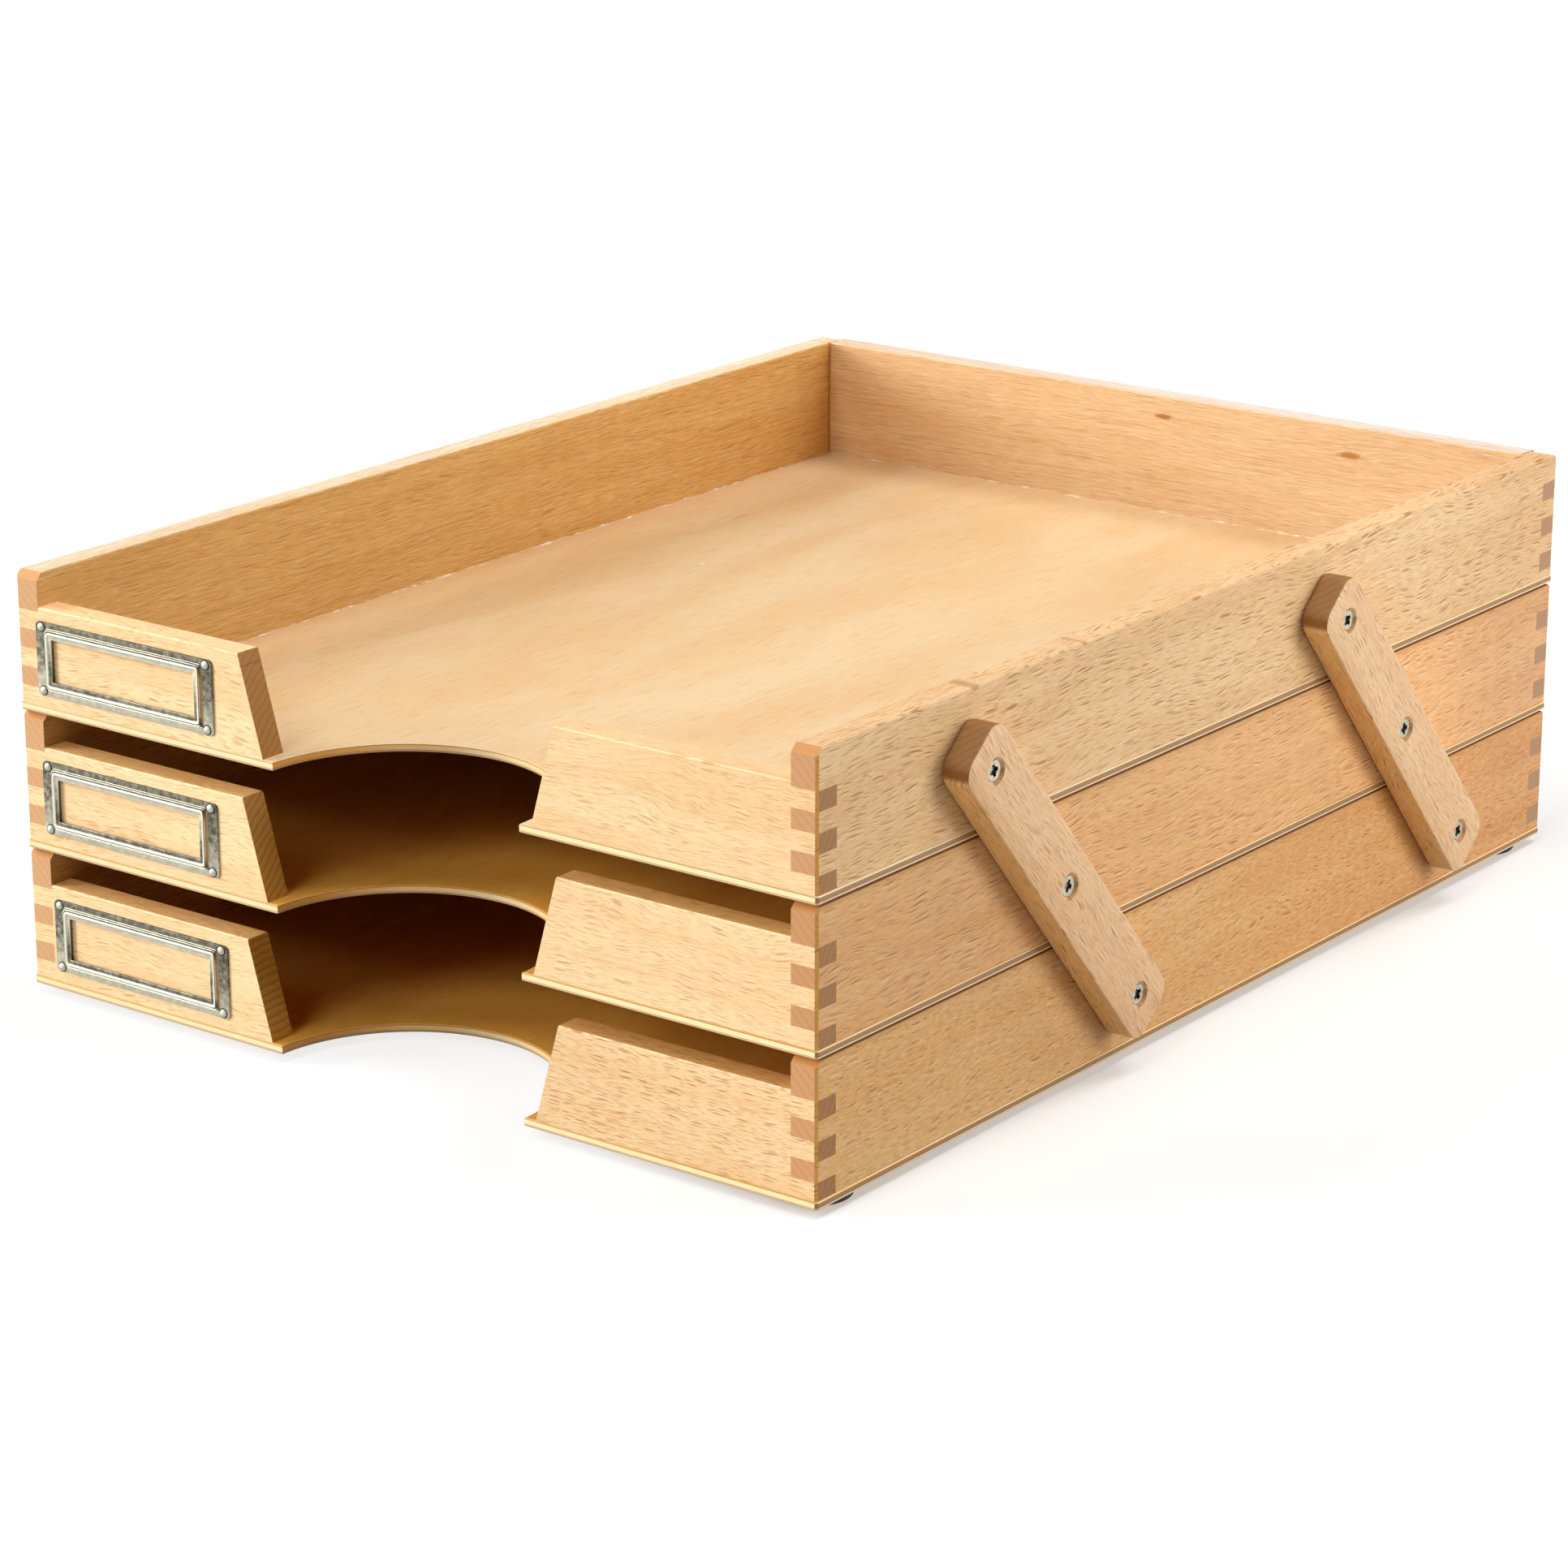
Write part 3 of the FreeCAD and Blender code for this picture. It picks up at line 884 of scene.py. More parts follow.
class GeometryDraft(Draft):
    """A geometry tree with named inputs for its sizes, ready to be put on an object."""

    def __init__(self, name: str, sizes: dict[str, float]) -> None:
        """Starts a geometry tree.

        Args:
            name: The tree's name.
            sizes: Named inputs in metres or as plain numbers, with the values to use.
        """
        super().__init__(bpy.data.node_groups.new(name, "GeometryNodeTree"))
        self.tree.interface.new_socket("Geometry", in_out="INPUT", socket_type="NodeSocketGeometry")
        self.tree.interface.new_socket("Geometry", in_out="OUTPUT", socket_type="NodeSocketGeometry")
        self.values: dict[str, object] = {}
        for size, value in sizes.items():
            made = self.tree.interface.new_socket(size, in_out="INPUT", socket_type="NodeSocketFloat")
            self.values[made.identifier] = value
        finish = self.tree.interface.new_socket("Finish", in_out="INPUT", socket_type="NodeSocketMaterial")
        self.finish_key = finish.identifier
        self.given = self.node("NodeGroupInput").outputs

    def end(self, geometry: Socket) -> None:
        """Gives the geometry its finish and ends the tree.

        Args:
            geometry: What the tree has made, instances included.
        """
        real = self.shape("RealizeInstances", {"Geometry": geometry})
        dressed = self.shape("SetMaterial", {"Geometry": real, "Material": self.given["Finish"]})
        self.node("NodeGroupOutput", {"Geometry": dressed})

    def end_on_points(self, piece: Socket) -> None:
        """Sets a piece on each point of the tree's object and ends the tree.

        Args:
            piece: The geometry to set there, turned by the point's own "turn".
        """
        turn = self.shape("InputNamedAttribute", {"Name": "turn"}, data_type="FLOAT_VECTOR")
        spots = {"Points": self.given["Geometry"], "Instance": piece, "Rotation": turn}
        self.end(self.shape("InstanceOnPoints", spots))

    def shape(self, kind: str, inputs: dict, **settings: object) -> Socket:
        """What a kind of geometry node, named without its GeometryNode prefix, makes of its inputs."""
        return self.node("GeometryNode" + kind, inputs, **settings).outputs[0]

    def placed(self, geometry: Socket, move: object = (0, 0, 0), turn: object = (0, 0, 0),
               scale: object = (1, 1, 1)) -> Socket:
        """The geometry moved, turned and scaled."""
        return self.shape("Transform", {"Geometry": geometry, "Translation": move, "Rotation": turn, "Scale": scale})

    def rubbed(self, geometry: Socket, value: float, **settings: object) -> Socket:
        """The geometry with one value of painted light, from -1 for painted shade to 1 for a painted highlight."""
        return self.shape("StoreNamedAttribute", {"Geometry": geometry, "Name": "rubbed", "Value": value}, **settings)

    def joined(self, *parts: Socket) -> Socket:
        """Joins geometries.

        Args:
            parts: The geometries.

        Returns:
            All of them as one.
        """
        made = self.node("GeometryNodeJoinGeometry")
        for part in parts:
            self.tree.links.new(part, made.inputs[0])
        return made.outputs[0]

    def carved(self, solid: Socket, *tools: Socket) -> Socket:
        """Cuts a solid.

        Args:
            solid: The solid to cut.
            tools: The closed shapes to take away from it.

        Returns:
            What is left of the solid.
        """
        made = self.node("GeometryNodeMeshBoolean", {0: solid}, operation="DIFFERENCE", solver="EXACT")
        for tool in tools:
            self.tree.links.new(tool, made.inputs[1])
        return made.outputs[0]

    def on(self, piece: bpy.types.Object, finish: bpy.types.Material) -> bpy.types.Modifier:
        """Adds the tree to a piece as a modifier.

        Args:
            piece: The object to put it on.
            finish: The material that the tree gives to what it makes.

        Returns:
            The modifier, with the tree's sizes set.
        """
        modifier = piece.modifiers.new(self.tree.name, "NODES")
        modifier.node_group = self.tree
        for key, value in self.values.items():
            modifier[key] = value
        modifier[self.finish_key] = finish
        return modifier


def baked(piece: bpy.types.Object, angle: float = SHARP_ANGLE) -> bpy.types.Object:
    """Turns a piece's modifiers into a plain mesh.

    Args:
        piece: An object with live modifiers.
        angle: The angle in degrees past which an edge stays sharp.

    Returns:
        The same object with the evaluated mesh and no modifier.
    """
    bpy.context.view_layer.update()
    evaluated = piece.evaluated_get(bpy.context.evaluated_depsgraph_get())
    mesh = bpy.data.meshes.new_from_object(evaluated)
    piece.modifiers.clear()
    piece.data = mesh
    smooth(mesh, angle)
    return piece


def points_object(name: str, places: Iterable[Vector], turns: Iterable[Vector]) -> bpy.types.Object:
    """An object of loose points with a "turn" attribute, for a tree to put shapes on.

    Args:
        name: The object's name.
        places: The points.
        turns: An Euler rotation for each point.

    Returns:
        The new object.
    """
    mesh = bpy.data.meshes.new(name)
    mesh.from_pydata([tuple(place) for place in places], [], [])
    turn = mesh.attributes.new("turn", "FLOAT_VECTOR", "POINT")
    for slot, value in zip(turn.data, turns):
        slot.vector = value
    return object_of(name, mesh)


# ------------------------------------------------------------------------------------------------- sub-assemblies


@dataclass
class LinkBars:
    """Four beech bars, each with three countersunk holes. Sizes in metres."""

    material_of: dict[str, bpy.types.Material]
    thickness: float = 0.0075
    width: float = 0.0186
    end: float = 0.010
    corner: float = 0.0050
    arris: float = 0.00035
    bore: float = 0.00155
    mouth: float = 0.0035

    CORNER_STEPS = 10
    ON_ITS_SIDE = (0.0, math.pi / 2, 0.0)

    def _blank(self, length: float) -> GeometryDraft:
        """A flat bar with rounded corners, standing on its end.

        Args:
            length: The length of the bar.

        Returns:
            The tree, which makes the bar with its inner face at X = 0 and its middle at the origin.
        """
        sizes = {"Thickness": self.thickness, "Width": self.width, "Length": length, "Corner": self.corner}
        d = GeometryDraft("bar blank", sizes)
        outline = {"Width": d.given["Length"], "Height": d.given["Width"]}
        outline = d.shape("CurvePrimitiveQuadrilateral", outline)
        soft = d.shape("FilletCurve", {0: outline, 1: self.CORNER_STEPS, 2: d.given["Corner"]}, mode="POLY")
        face = d.shape("FillCurve", {"Curve": soft}, mode="NGONS")
        upward = d.join(0.0, 0.0, d.given["Thickness"])
        raised = d.shape("ExtrudeMesh", {"Mesh": face, "Offset": upward, "Individual": False})
        under = d.shape("FlipFaces", {"Mesh": face})
        whole = d.shape("MergeByDistance", {"Geometry": d.joined(raised, under), "Distance": 1e-6})
        d.end(d.placed(whole, turn=self.ON_ITS_SIDE))
        return d

    def _drill(self, spacing: float) -> GeometryDraft:
        """Three bores with countersinks in the bar's outer face.

        Args:
            spacing: The distance between two bores.

        Returns:
            The tree, which drills the piece that it is put on.
        """
        sizes = {"Thickness": self.thickness, "Bore": self.bore, "Mouth": self.mouth, "Spacing": spacing}
        d = GeometryDraft("bar drill", sizes)
        thickness, radius = d.given["Thickness"], d.given["Bore"]
        bore = d.shape("MeshCylinder", {"Vertices": 48, "Radius": radius, "Depth": d.mul(thickness, 3.0)})
        over = d.mul(radius, 0.25)
        wide = d.add(d.given["Mouth"], over)
        depth = d.sub(wide, radius)
        cone = {"Vertices": 48, "Radius Top": wide, "Radius Bottom": radius, "Depth": depth}
        sink = d.placed(d.shape("MeshCone", cone), d.join(0.0, 0.0, d.sub(over, depth)))
        sink = d.placed(sink, d.join(thickness, 0.0, 0.0), self.ON_ITS_SIDE)
        bore = d.placed(bore, turn=self.ON_ITS_SIDE)
        body = d.given["Geometry"]
        for count in (-1.0, 0.0, 1.0):
            place = d.join(0.0, 0.0, d.mul(d.given["Spacing"], count))
            for tool in (bore, sink):
                body = d.carved(body, d.placed(tool, place))
        d.end(body)
        return d

    def _bar(self, side: Side, column: int) -> bpy.types.Object:
        """One bar in its place.

        Args:
            side: The side of the stack.
            column: 0 for the front bar, 1 for the rear one.

        Returns:
            The bar.
        """
        name = f"link_{side.name.lower()}_{('front', 'rear')[column]}"
        low, middle, high = (screw_places(tray, side)[column] for tray in TRAYS)
        span = high - low
        lowest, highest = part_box(name)
        inner = lowest.x if side is Side.RIGHT else highest.x
        piece = object_of(name + "_bar", bpy.data.meshes.new(name))
        finish = self.material_of[name]
        self._blank(span.length + 2 * self.end).on(piece, finish)
        bevel = piece.modifiers.new("arris", "BEVEL")
        bevel.width, bevel.segments, bevel.limit_method = self.arris, 3, "ANGLE"
        bevel.angle_limit = math.radians(60)
        self._drill(span.length / 2).on(piece, finish)
        baked(piece)
        lean = Matrix.Rotation(math.atan2(-span.y, span.z), 4, "X")
        turn = Matrix.Identity(4) if side is Side.RIGHT else Matrix.Rotation(math.pi, 4, "Z")
        piece.data.transform(Matrix.Translation((inner, middle.y, middle.z)) @ lean @ turn)
        dress(piece, finish)
        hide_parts(name)
        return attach(piece, name)

    def build(self) -> list[bpy.types.Object]:
        """All four bars."""
        return [self._bar(side, column) for side in Side for column in (0, 1)]


def screw_places(tray: str, side: Side) -> list[Vector]:
    """Where a tray's front and rear pivot screws pass its side face, read from the frame's washers.

    Args:
        tray: The tray's name.
        side: The side of the stack.

    Returns:
        The front and the rear place.
    """
    low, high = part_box(f"{tray}_pivot_washers")
    radius = (high.z - low.z) / 2
    middle = (low.z + high.z) / 2
    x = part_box(f"{tray}_right_side")[1].x * side.value
    return [Vector((x, low.y + radius, middle)), Vector((x, high.y - radius, middle))]


@dataclass
class TrayPart:
    """A part that rides with one tray, and its material."""

    tray: str
    material: bpy.types.Material

    def box(self, node: str) -> tuple[Vector, Vector]:
        """The lowest and the highest corner of one of the tray's pieces in the frame."""
        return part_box(f"{self.tray}_{node}")

    def seated(self, piece: bpy.types.Object, slot: str, replaced: str | None = None) -> bpy.types.Object:
        """Dresses a piece and lets it ride with its tray.

        Args:
            piece: The piece, in its place.
            slot: The record's slot that it stands for; not used.
            replaced: The tray's piece in the frame that it is drawn instead of, or None.

        Returns:
            The piece.
        """
        dress(piece, self.material)
        if replaced is not None:
            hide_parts(f"{self.tray}_{replaced}")
        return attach(piece, f"{self.tray}_tray")


@dataclass
class FloorPanel(TrayPart):
    """A tray's plywood floor with the half-round scoop, its arrises eased. Sizes in metres."""

    scoop: float = 0.040
    corner: float = 0.00065
    arris: float = 0.00034
    proud: float = 0.00025
    scoop_steps: int = 96

    def _outline(self, inset: float, scoop_inset: float) -> list[tuple[float, float]]:
        """The panel's outline seen from above.

        Args:
            inset: How far the straight edges are pulled in.
            scoop_inset: How far the scoop's edge is pulled in.

        Returns:
            The outline's points as x and y.
        """
        low, high = self.box("floor_panel")
        x, front, back, cut = high.x + self.proud - inset, low.y - self.proud + inset, high.y - inset, self.corner
        radius = self.scoop + scoop_inset
        start = math.asin((inset - self.proud) / radius)
        arc = []
        for k in range(self.scoop_steps + 1):
            angle = math.pi - start - k * (math.pi - 2 * start) / self.scoop_steps
            arc.append((radius * math.cos(angle), low.y + radius * math.sin(angle)))
        corners = [(x - cut, front), (x, front + cut), (x, back - cut), (x - cut, back), (-x + cut, back),
                   (-x, back - cut), (-x, front + cut), (-x + cut, front)]
        return arc + corners

    def build(self) -> bpy.types.Object:
        """The floor panel in its place."""
        low, high = self.box("floor_panel")
        ease = self.arris
        levels = [(low.z, 0.4 * ease, 0.2 * ease), (low.z + 0.4 * ease, 0.0, 0.0),
                  (high.z - ease, 0.0, 0.0), (high.z - 0.5 * ease, 0.25 * ease, 0.15 * ease), (high.z, ease, ease)]
        rings = [[Vector((x, y, z)) for x, y in self._outline(*insets)] for z, *insets in levels]
        mesh = rings_mesh(f"{self.tray}_floor", rings, closed=False)
        smooth(mesh, 30.0)
        return self.seated(object_of(f"{self.tray}_floor", mesh), "plywood", "floor_panel")


@dataclass
class GlueBead(TrayPart):
    """The thin bead of glue squeezed out where the floor meets the left side and the back. Sizes in metres."""

    girth: float = 0.00040
    pitch: float = 0.0009
    waver: float = 0.0007
    lump: float = 0.0032

    def _tree(self) -> GeometryDraft:
        """An uneven round bead along the piece's own line."""
        sizes = {"Girth": self.girth, "Pitch": self.pitch, "Waver": self.waver, "Lump": self.lump}
        d = GeometryDraft("glue bead", sizes)
        line = d.shape("MeshToCurve", {"Mesh": d.given["Geometry"]})
        line = d.shape("ResampleCurve", {"Curve": line, "Length": d.given["Pitch"]}, mode="LENGTH")
        place = d.vector("SCALE", d.shape("InputPosition", {}))
        d.tree.links.new(d.div(1.0, d.given["Lump"]), place.node.inputs["Scale"])
        lumps = d.node("ShaderNodeTexNoise", {"Vector": place, "Scale": 1.0, "Detail": 2.0}).outputs
        shift = d.vector("SUBTRACT", lumps["Color"], (0.5, 0.5, 0.5))
        shift = d.vector("MULTIPLY", shift, d.join(d.given["Waver"], d.given["Waver"], d.given["Waver"]))
        line = d.shape("SetPosition", {"Geometry": line, "Offset": shift})
        width = d.mul_add(d.step(lumps[0], 0.36, 0.62), 0.85, 0.15)
        line = d.shape("SetCurveRadius", {"Curve": line, "Radius": width})
        ring = d.shape("CurvePrimitiveCircle", {"Resolution": 6, "Radius": d.given["Girth"]})
        d.end(d.shape("CurveToMesh", {"Curve": line, "Profile Curve": ring, "Fill Caps": True, "Scale": width}))
        return d

    def build(self) -> bpy.types.Object:
        """The bead in its place."""
        side, front, back = self.box("left_side")[1].x, self.box("front_left")[1].y, self.box("back")[0].y
        right, level = self.box("right_side")[0].x, self.box("floor_panel")[1].z
        mesh = bpy.data.meshes.new(f"{self.tray}_glue")
        mesh.from_pydata([(side, front, level), (side, back, level), (right, back, level)], [(0, 1), (1, 2)], [])
        piece = object_of(f"{self.tray}_glue_bead", mesh)
        self._tree().on(piece, self.material)
        return self.seated(baked(piece, 60.0), "plywood")


@dataclass
class LabelFrame(TrayPart):
    """A stamped steel label frame: a flange, and a raised rim that is open at its right end. Sizes in metres."""

    window: tuple[float, float] = (0.0502, 0.0114)
    corner: float = 0.0013
    sheet: float = 0.0005
    corner_steps: int = 6
    # Painted reflection from top to bottom: the land round the window lighter at its top, the flange lighter at its
    # bottom
    shade: float = 0.55
    land: float = 1.0
    rim_reach: tuple[float, float] = (0.00255, 0.00245)

    # Across the rim from the window's edge outwards and back under it: how far out, how high, and how much painted
    # light
    # Above 0 a painted highlight on the beads and edges, below 0 painted shade in the grooves
    LAND = ((0.00, 1.02, 0.6), (0.10, 1.12, 0.6), (0.25, 1.14, 0.0), (0.98, 1.14, 0.0), (1.10, 1.20, 0.4))
    UNDER = ((1.20, 0.85, 0.0), (0.98, 0.72, 0.0), (0.00, 0.72, 0.0))
    WALLED = LAND + (
        (1.28, 1.34, 1.0), (1.48, 1.40, 1.0), (1.68, 1.36, 1.0), (1.84, 1.20, 0.3), (1.94, 0.95, -1.0),
        (2.04, 0.90, -1.0), (2.14, 1.02, 0.8), (2.26, 1.05, 1.0), (2.38, 0.94, 0.3), (2.48, 0.74, -1.0),
        (2.55, 0.68, -0.5), (2.64, 0.73, 0.9), (2.74, 0.66, 0.8), (2.78, 0.45, 0.0), (2.78, 0.10, 0.0),
        (2.40, 0.10, 0.0), (2.05, 0.45, 0.0), (1.75, 0.85, 0.0), (1.48, 0.95, 0.0),
    ) + UNDER
    OPEN_END = LAND + (
        (1.24, 1.30, 1.0), (1.38, 1.36, 1.0), (1.52, 1.37, 1.0), (1.62, 1.34, 1.0), (1.68, 1.30, 0.8),
        (1.71, 1.26, 0.4), (1.73, 1.22, 0.0), (1.73, 1.19, 0.0), (1.73, 1.16, 0.0), (1.72, 1.13, 0.0),
        (1.71, 1.10, 0.0), (1.70, 1.07, 0.0), (1.68, 1.04, 0.0), (1.65, 1.01, 0.0), (1.62, 0.98, 0.0),
        (1.58, 0.96, 0.0), (1.52, 0.95, 0.0), (1.45, 0.94, 0.0), (1.35, 0.91, 0.0),
    ) + UNDER

    def _ring(self, half_x: float, half_z: float, radius: float) -> list[tuple[float, float]]:
        """A rounded rectangle's outline about the frame's middle, from the lower right corner round.

        Args:
            half_x: Half its width.
            half_z: Half its height.
            radius: The radius of its corners.

        Returns:
            The outline's points as x and z.
        """
        points = []
        for quarter, (sx, sz) in enumerate(((1, -1), (1, 1), (-1, 1), (-1, -1))):
            for k in range(self.corner_steps + 1):
                angle = math.radians(90 * (quarter - 1) + 90 * k / self.corner_steps)
                points.append((sx * (half_x - radius) + radius * math.cos(angle),
                               sz * (half_z - radius) + radius * math.sin(angle)))
        return points

    def _rim(self, middle: Vector, board: float) -> bpy.types.Mesh:
        """The raised rim as one closed skin.

        Args:
            middle: The middle of the label frame.
            board: The y of the board's face behind it.

        Returns:
            The skin, with its painted light and shade on each point.
        """
        half_x, half_z = self.window[0] / 2, self.window[1] / 2
        first = self.corner_steps // 2
        rings, painted_lights = [], []
        for shut, free in zip(self.WALLED, self.OPEN_END):
            ring = []
            height, radius = half_z + shut[0] * MM, 0.1 * MM + 0.5 * shut[0] * MM
            outline_shut = self._ring(half_x + shut[0] * MM, height, radius)
            outline_free = self._ring(half_x + free[0] * MM, height, radius)
            for k, closed_point in enumerate(outline_shut):
                at_end = first < k < first + self.corner_steps + 2
                out, (x, z) = (free, outline_free[k]) if at_end else (shut, closed_point)
                ring.append(Vector((middle.x + x, board - out[1] * MM, middle.z + z)))
                # Painted highlights and shade from the profile, and on the land a painted reflection, lighter towards
                # the top
                painted_lights.append(out[2] + (self.shade * z / half_z if out[0] < self.land else 0.0))
            rings.append(ring)
        mesh = rings_mesh("rim", rings, closed=True)
        paint_light(mesh, painted_lights)
        return mesh

    def _flange(self, low: Vector, high: Vector, board: float) -> bpy.types.Mesh:
        """The flat flange round the rim as one closed skin.

        Args:
            low: The lowest corner of the label frame.
            high: Its highest corner.
            board: The y of the board's face behind it.

        Returns:
            The skin, with its painted light and shade on each point.
        """
        half_x, half_z = (high.x - low.x) / 2, (high.z - low.z) / 2
        inner_x, inner_z = (size / 2 + reach for size, reach in zip(self.window, self.rim_reach))
        soft = 0.3 * self.sheet
        section = [(inner_x, inner_z, 0.3 * MM, 0.0), (inner_x, inner_z, 0.3 * MM, self.sheet),
                   (half_x - soft, half_z - soft, self.corner - soft, self.sheet),
                   (half_x - 0.3 * soft, half_z - 0.3 * soft, self.corner - 0.3 * soft, self.sheet - 0.3 * soft),
                   (half_x, half_z, self.corner, self.sheet - soft), (half_x, half_z, self.corner, 0.0)]
        middle = (low + high) / 2
        rings = [
            [Vector((middle.x + x, board - rise, middle.z + z)) for x, z in self._ring(a, b, radius)]
            for a, b, radius, rise in section
        ]
        mesh = rings_mesh("flange", rings, closed=True)
        # The flange's painted reflection, lighter towards its bottom and darker towards its top
        paint_light(mesh, [self.shade * (middle.z - v.co.z) / half_z for v in mesh.vertices])
        return mesh

    def build(self) -> bpy.types.Object:
        """The label frame in its place."""
        low, high = self.box("label_frame")
        board = self.box("front_left")[0].y
        shape = bmesh.new()
        shape.verts.layers.float.new("rubbed")
        shape.from_mesh(self._rim((low + high) / 2, board))
        shape.from_mesh(self._flange(low, high, board))
        mesh = bpy.data.meshes.new(f"{self.tray}_label_holder")
        shape.to_mesh(mesh)
        shape.free()
        smooth(mesh, 50.0)
        return self.seated(object_of(f"{self.tray}_label_holder", mesh), "label_steel", "label_frame")


@dataclass
class LabelNails(TrayPart):
    """The four round-head nails of a label frame. Sizes in metres."""

    head: float = 0.00115
    dome: float = 0.00074
    shank: float = 0.0005
    length: float = 0.0062
    # The disc of painted shadow round each head: its radius as a share of the head's, then its depth
    shadow_disc: float = 1.22
    shadow_paint: float = 0.00008
    flange: float = 0.0005

    FACING_FRONT = (math.pi / 2, 0.0, 0.0)
    TURN_PER_METRE = 37.0

    def _tree(self) -> GeometryDraft:
        """A domed head on a straight shank, with a thin disc of painted shadow round it, set on each point."""
        sizes = {"Head": self.head, "Dome": self.dome, "Shank": self.shank, "Length": self.length}
        d = GeometryDraft("round-head nail", sizes)
        head, length = d.given["Head"], d.given["Length"]
        ball = d.shape("MeshUVSphere", {"Segments": 32, "Rings": 16, "Radius": head})
        dome = d.placed(ball, turn=self.FACING_FRONT)
        dome = d.placed(dome, scale=d.join(1.0, d.div(d.given["Dome"], head), 1.0))
        shank = d.shape("MeshCylinder", {"Vertices": 16, "Radius": d.given["Shank"], "Depth": length})
        shank = d.placed(shank, d.join(0.0, d.mul(length, 0.5), 0.0), self.FACING_FRONT)
        # A thin dark disc under each head, a painted shadow on the flange round it
        shadow_disc = d.shape("MeshCylinder", {"Vertices": 32, "Radius": d.mul(head, self.shadow_disc), "Depth": self.shadow_paint})
        shadow_disc = d.rubbed(d.placed(shadow_disc, turn=self.FACING_FRONT), -1.0)
        d.end_on_points(d.joined(dome, shank, shadow_disc))
        return d

    def build(self) -> bpy.types.Object:
        """The nails in their places."""
        low, high = self.box("label_nails")
        face = self.box("front_left")[0].y - self.flange
        places, turns = [], []
        for x in (low.x + self.head, high.x - self.head):
            for z in (low.z + self.head, high.z - self.head):
                places.append(Vector((x, face, z)))
                turns.append(Vector((0.0, self.TURN_PER_METRE * (x + z), 0.0)))
        piece = points_object(f"{self.tray}_round_nails", places, turns)
        self._tree().on(piece, self.material)
        return self.seated(baked(piece, 40.0), "nail_steel", "label_nails")


@dataclass
class PivotScrews(TrayPart):
    """A tray's four countersunk cross-head screws, threaded where they sit in the board.

    Sizes in metres, core and ridge as parts of the shank's radius.
    """

    head: float = 0.0026
    shank: float = 0.0015
    length: float = 0.0130
    cross: float = 0.0032
    slot: float = 0.00105
    depth: float = 0.0015
    pitch: float = 0.00115
    thread: float = 0.0056
    core: float = 0.72
    ridge: float = 0.27

    POINT = 0.0001
    PIT_WIDTH = 1.15
    FIRST_TURN = 20.0
    TURN_STEPS = (37.0, 24.0, 11.0)

    def _head(self, d: GeometryDraft) -> Socket:
        """The countersunk head with its cross.

        Args:
            d: The screw's tree.

        Returns:
            The head, its face at Z = 0.
        """
        g = d.given
        rise = d.sub(g["Head"], g["Shank"])
        cone = {"Vertices": 64, "Radius Top": g["Head"], "Radius Bottom": g["Shank"], "Depth": rise}
        head = d.placed(d.shape("MeshCone", cone), d.join(0.0, 0.0, d.mul(rise, -1.0)))
        tools = []
        for turn in (0.0, math.pi / 2):
            size = d.join(g["Cross"], g["Slot"], d.mul(g["Depth"], 2.0))
            tools.append(d.placed(d.shape("MeshCube", {"Size": size}), turn=(0.0, 0.0, turn)))
        pit = {"Vertices": 24, "Radius Top": d.mul(g["Slot"], self.PIT_WIDTH), "Radius Bottom": self.POINT,
               "Depth": g["Depth"]}
        tools.append(d.placed(d.shape("MeshCone", pit), d.join(0.0, 0.0, d.mul(g["Depth"], -0.98))))
        # The cross and its pit carry painted shade
        for tool in tools:
            head = d.carved(head, d.rubbed(tool, -0.9, domain="FACE"))
        return head

    def _thread(self, d: GeometryDraft) -> tuple[Socket, Socket]:
        """The thread, from the screw's tip up.

        Args:
            d: The screw's tree.

        Returns:
            The tapered core, and the ridge that winds round it.
        """
        g = d.given
        core = d.mul(g["Shank"], self.core)
        tip = d.mul(g["Length"], -1.0)
        point = {"Vertices": 32, "Radius Top": core, "Radius Bottom": self.POINT, "Depth": g["Thread"]}
        point = d.placed(d.shape("MeshCone", point), d.join(0.0, 0.0, tip))
        path = d.shape("CurveSpiral", {"Resolution": 20, "Rotations": d.div(g["Thread"], g["Pitch"]),
                                       "Start Radius": self.POINT, "End Radius": core, "Height": g["Thread"]})
        section = d.shape("CurvePrimitiveCircle", {"Resolution": 3, "Radius": d.mul(g["Shank"], self.ridge)})
        ridge = d.shape("CurveToMesh", {"Curve": path, "Profile Curve": section, "Fill Caps": True})
        return point, d.placed(ridge, d.join(0.0, 0.0, tip))

    def _tree(self) -> GeometryDraft:
        """A screw that points its head along +X from the origin, which is the middle of its head's face."""
        sizes = {"Head": self.head, "Shank": self.shank, "Length": self.length, "Cross": self.cross, "Slot": self.slot,
                 "Depth": self.depth, "Pitch": self.pitch, "Thread": self.thread}
        d = GeometryDraft("countersunk screw", sizes)
        g = d.given
        under = d.mul(d.sub(g["Head"], g["Shank"]), 0.9)
        smooth_length = d.sub(d.sub(g["Length"], g["Thread"]), under)
        plain = d.shape("MeshCylinder", {"Vertices": 48, "Radius": g["Shank"], "Depth": smooth_length})
        plain = d.placed(plain, d.join(0.0, 0.0, d.sub(d.mul(smooth_length, -0.5), under)))
        screw = d.joined(self._head(d), plain, *self._thread(d))
        d.end_on_points(d.placed(screw, turn=(0.0, math.pi / 2, 0.0)))
        return d

    def build(self) -> bpy.types.Object:
        """The screws in their places, each stopped at its own angle."""
        reach = self.box("pivot_screws")[1].x
        per_tray, per_column, per_side = self.TURN_STEPS
        first = self.FIRST_TURN + per_tray * TRAYS.index(self.tray)
        places, turns = [], []
        for side in Side:
            for column, place in enumerate(screw_places(self.tray, side)):
                places.append(Vector((reach * side.value, place.y, place.z)))
                spin = math.radians(first + per_column * column + per_side * side.value)
                turns.append(Vector((spin, 0.0, 0.0 if side is Side.RIGHT else math.pi)))
        piece = points_object(f"{self.tray}_cross_screws", places, turns)
        self._tree().on(piece, self.material)
        return self.seated(baked(piece, 35.0), "screw_zinc", "pivot_screws")


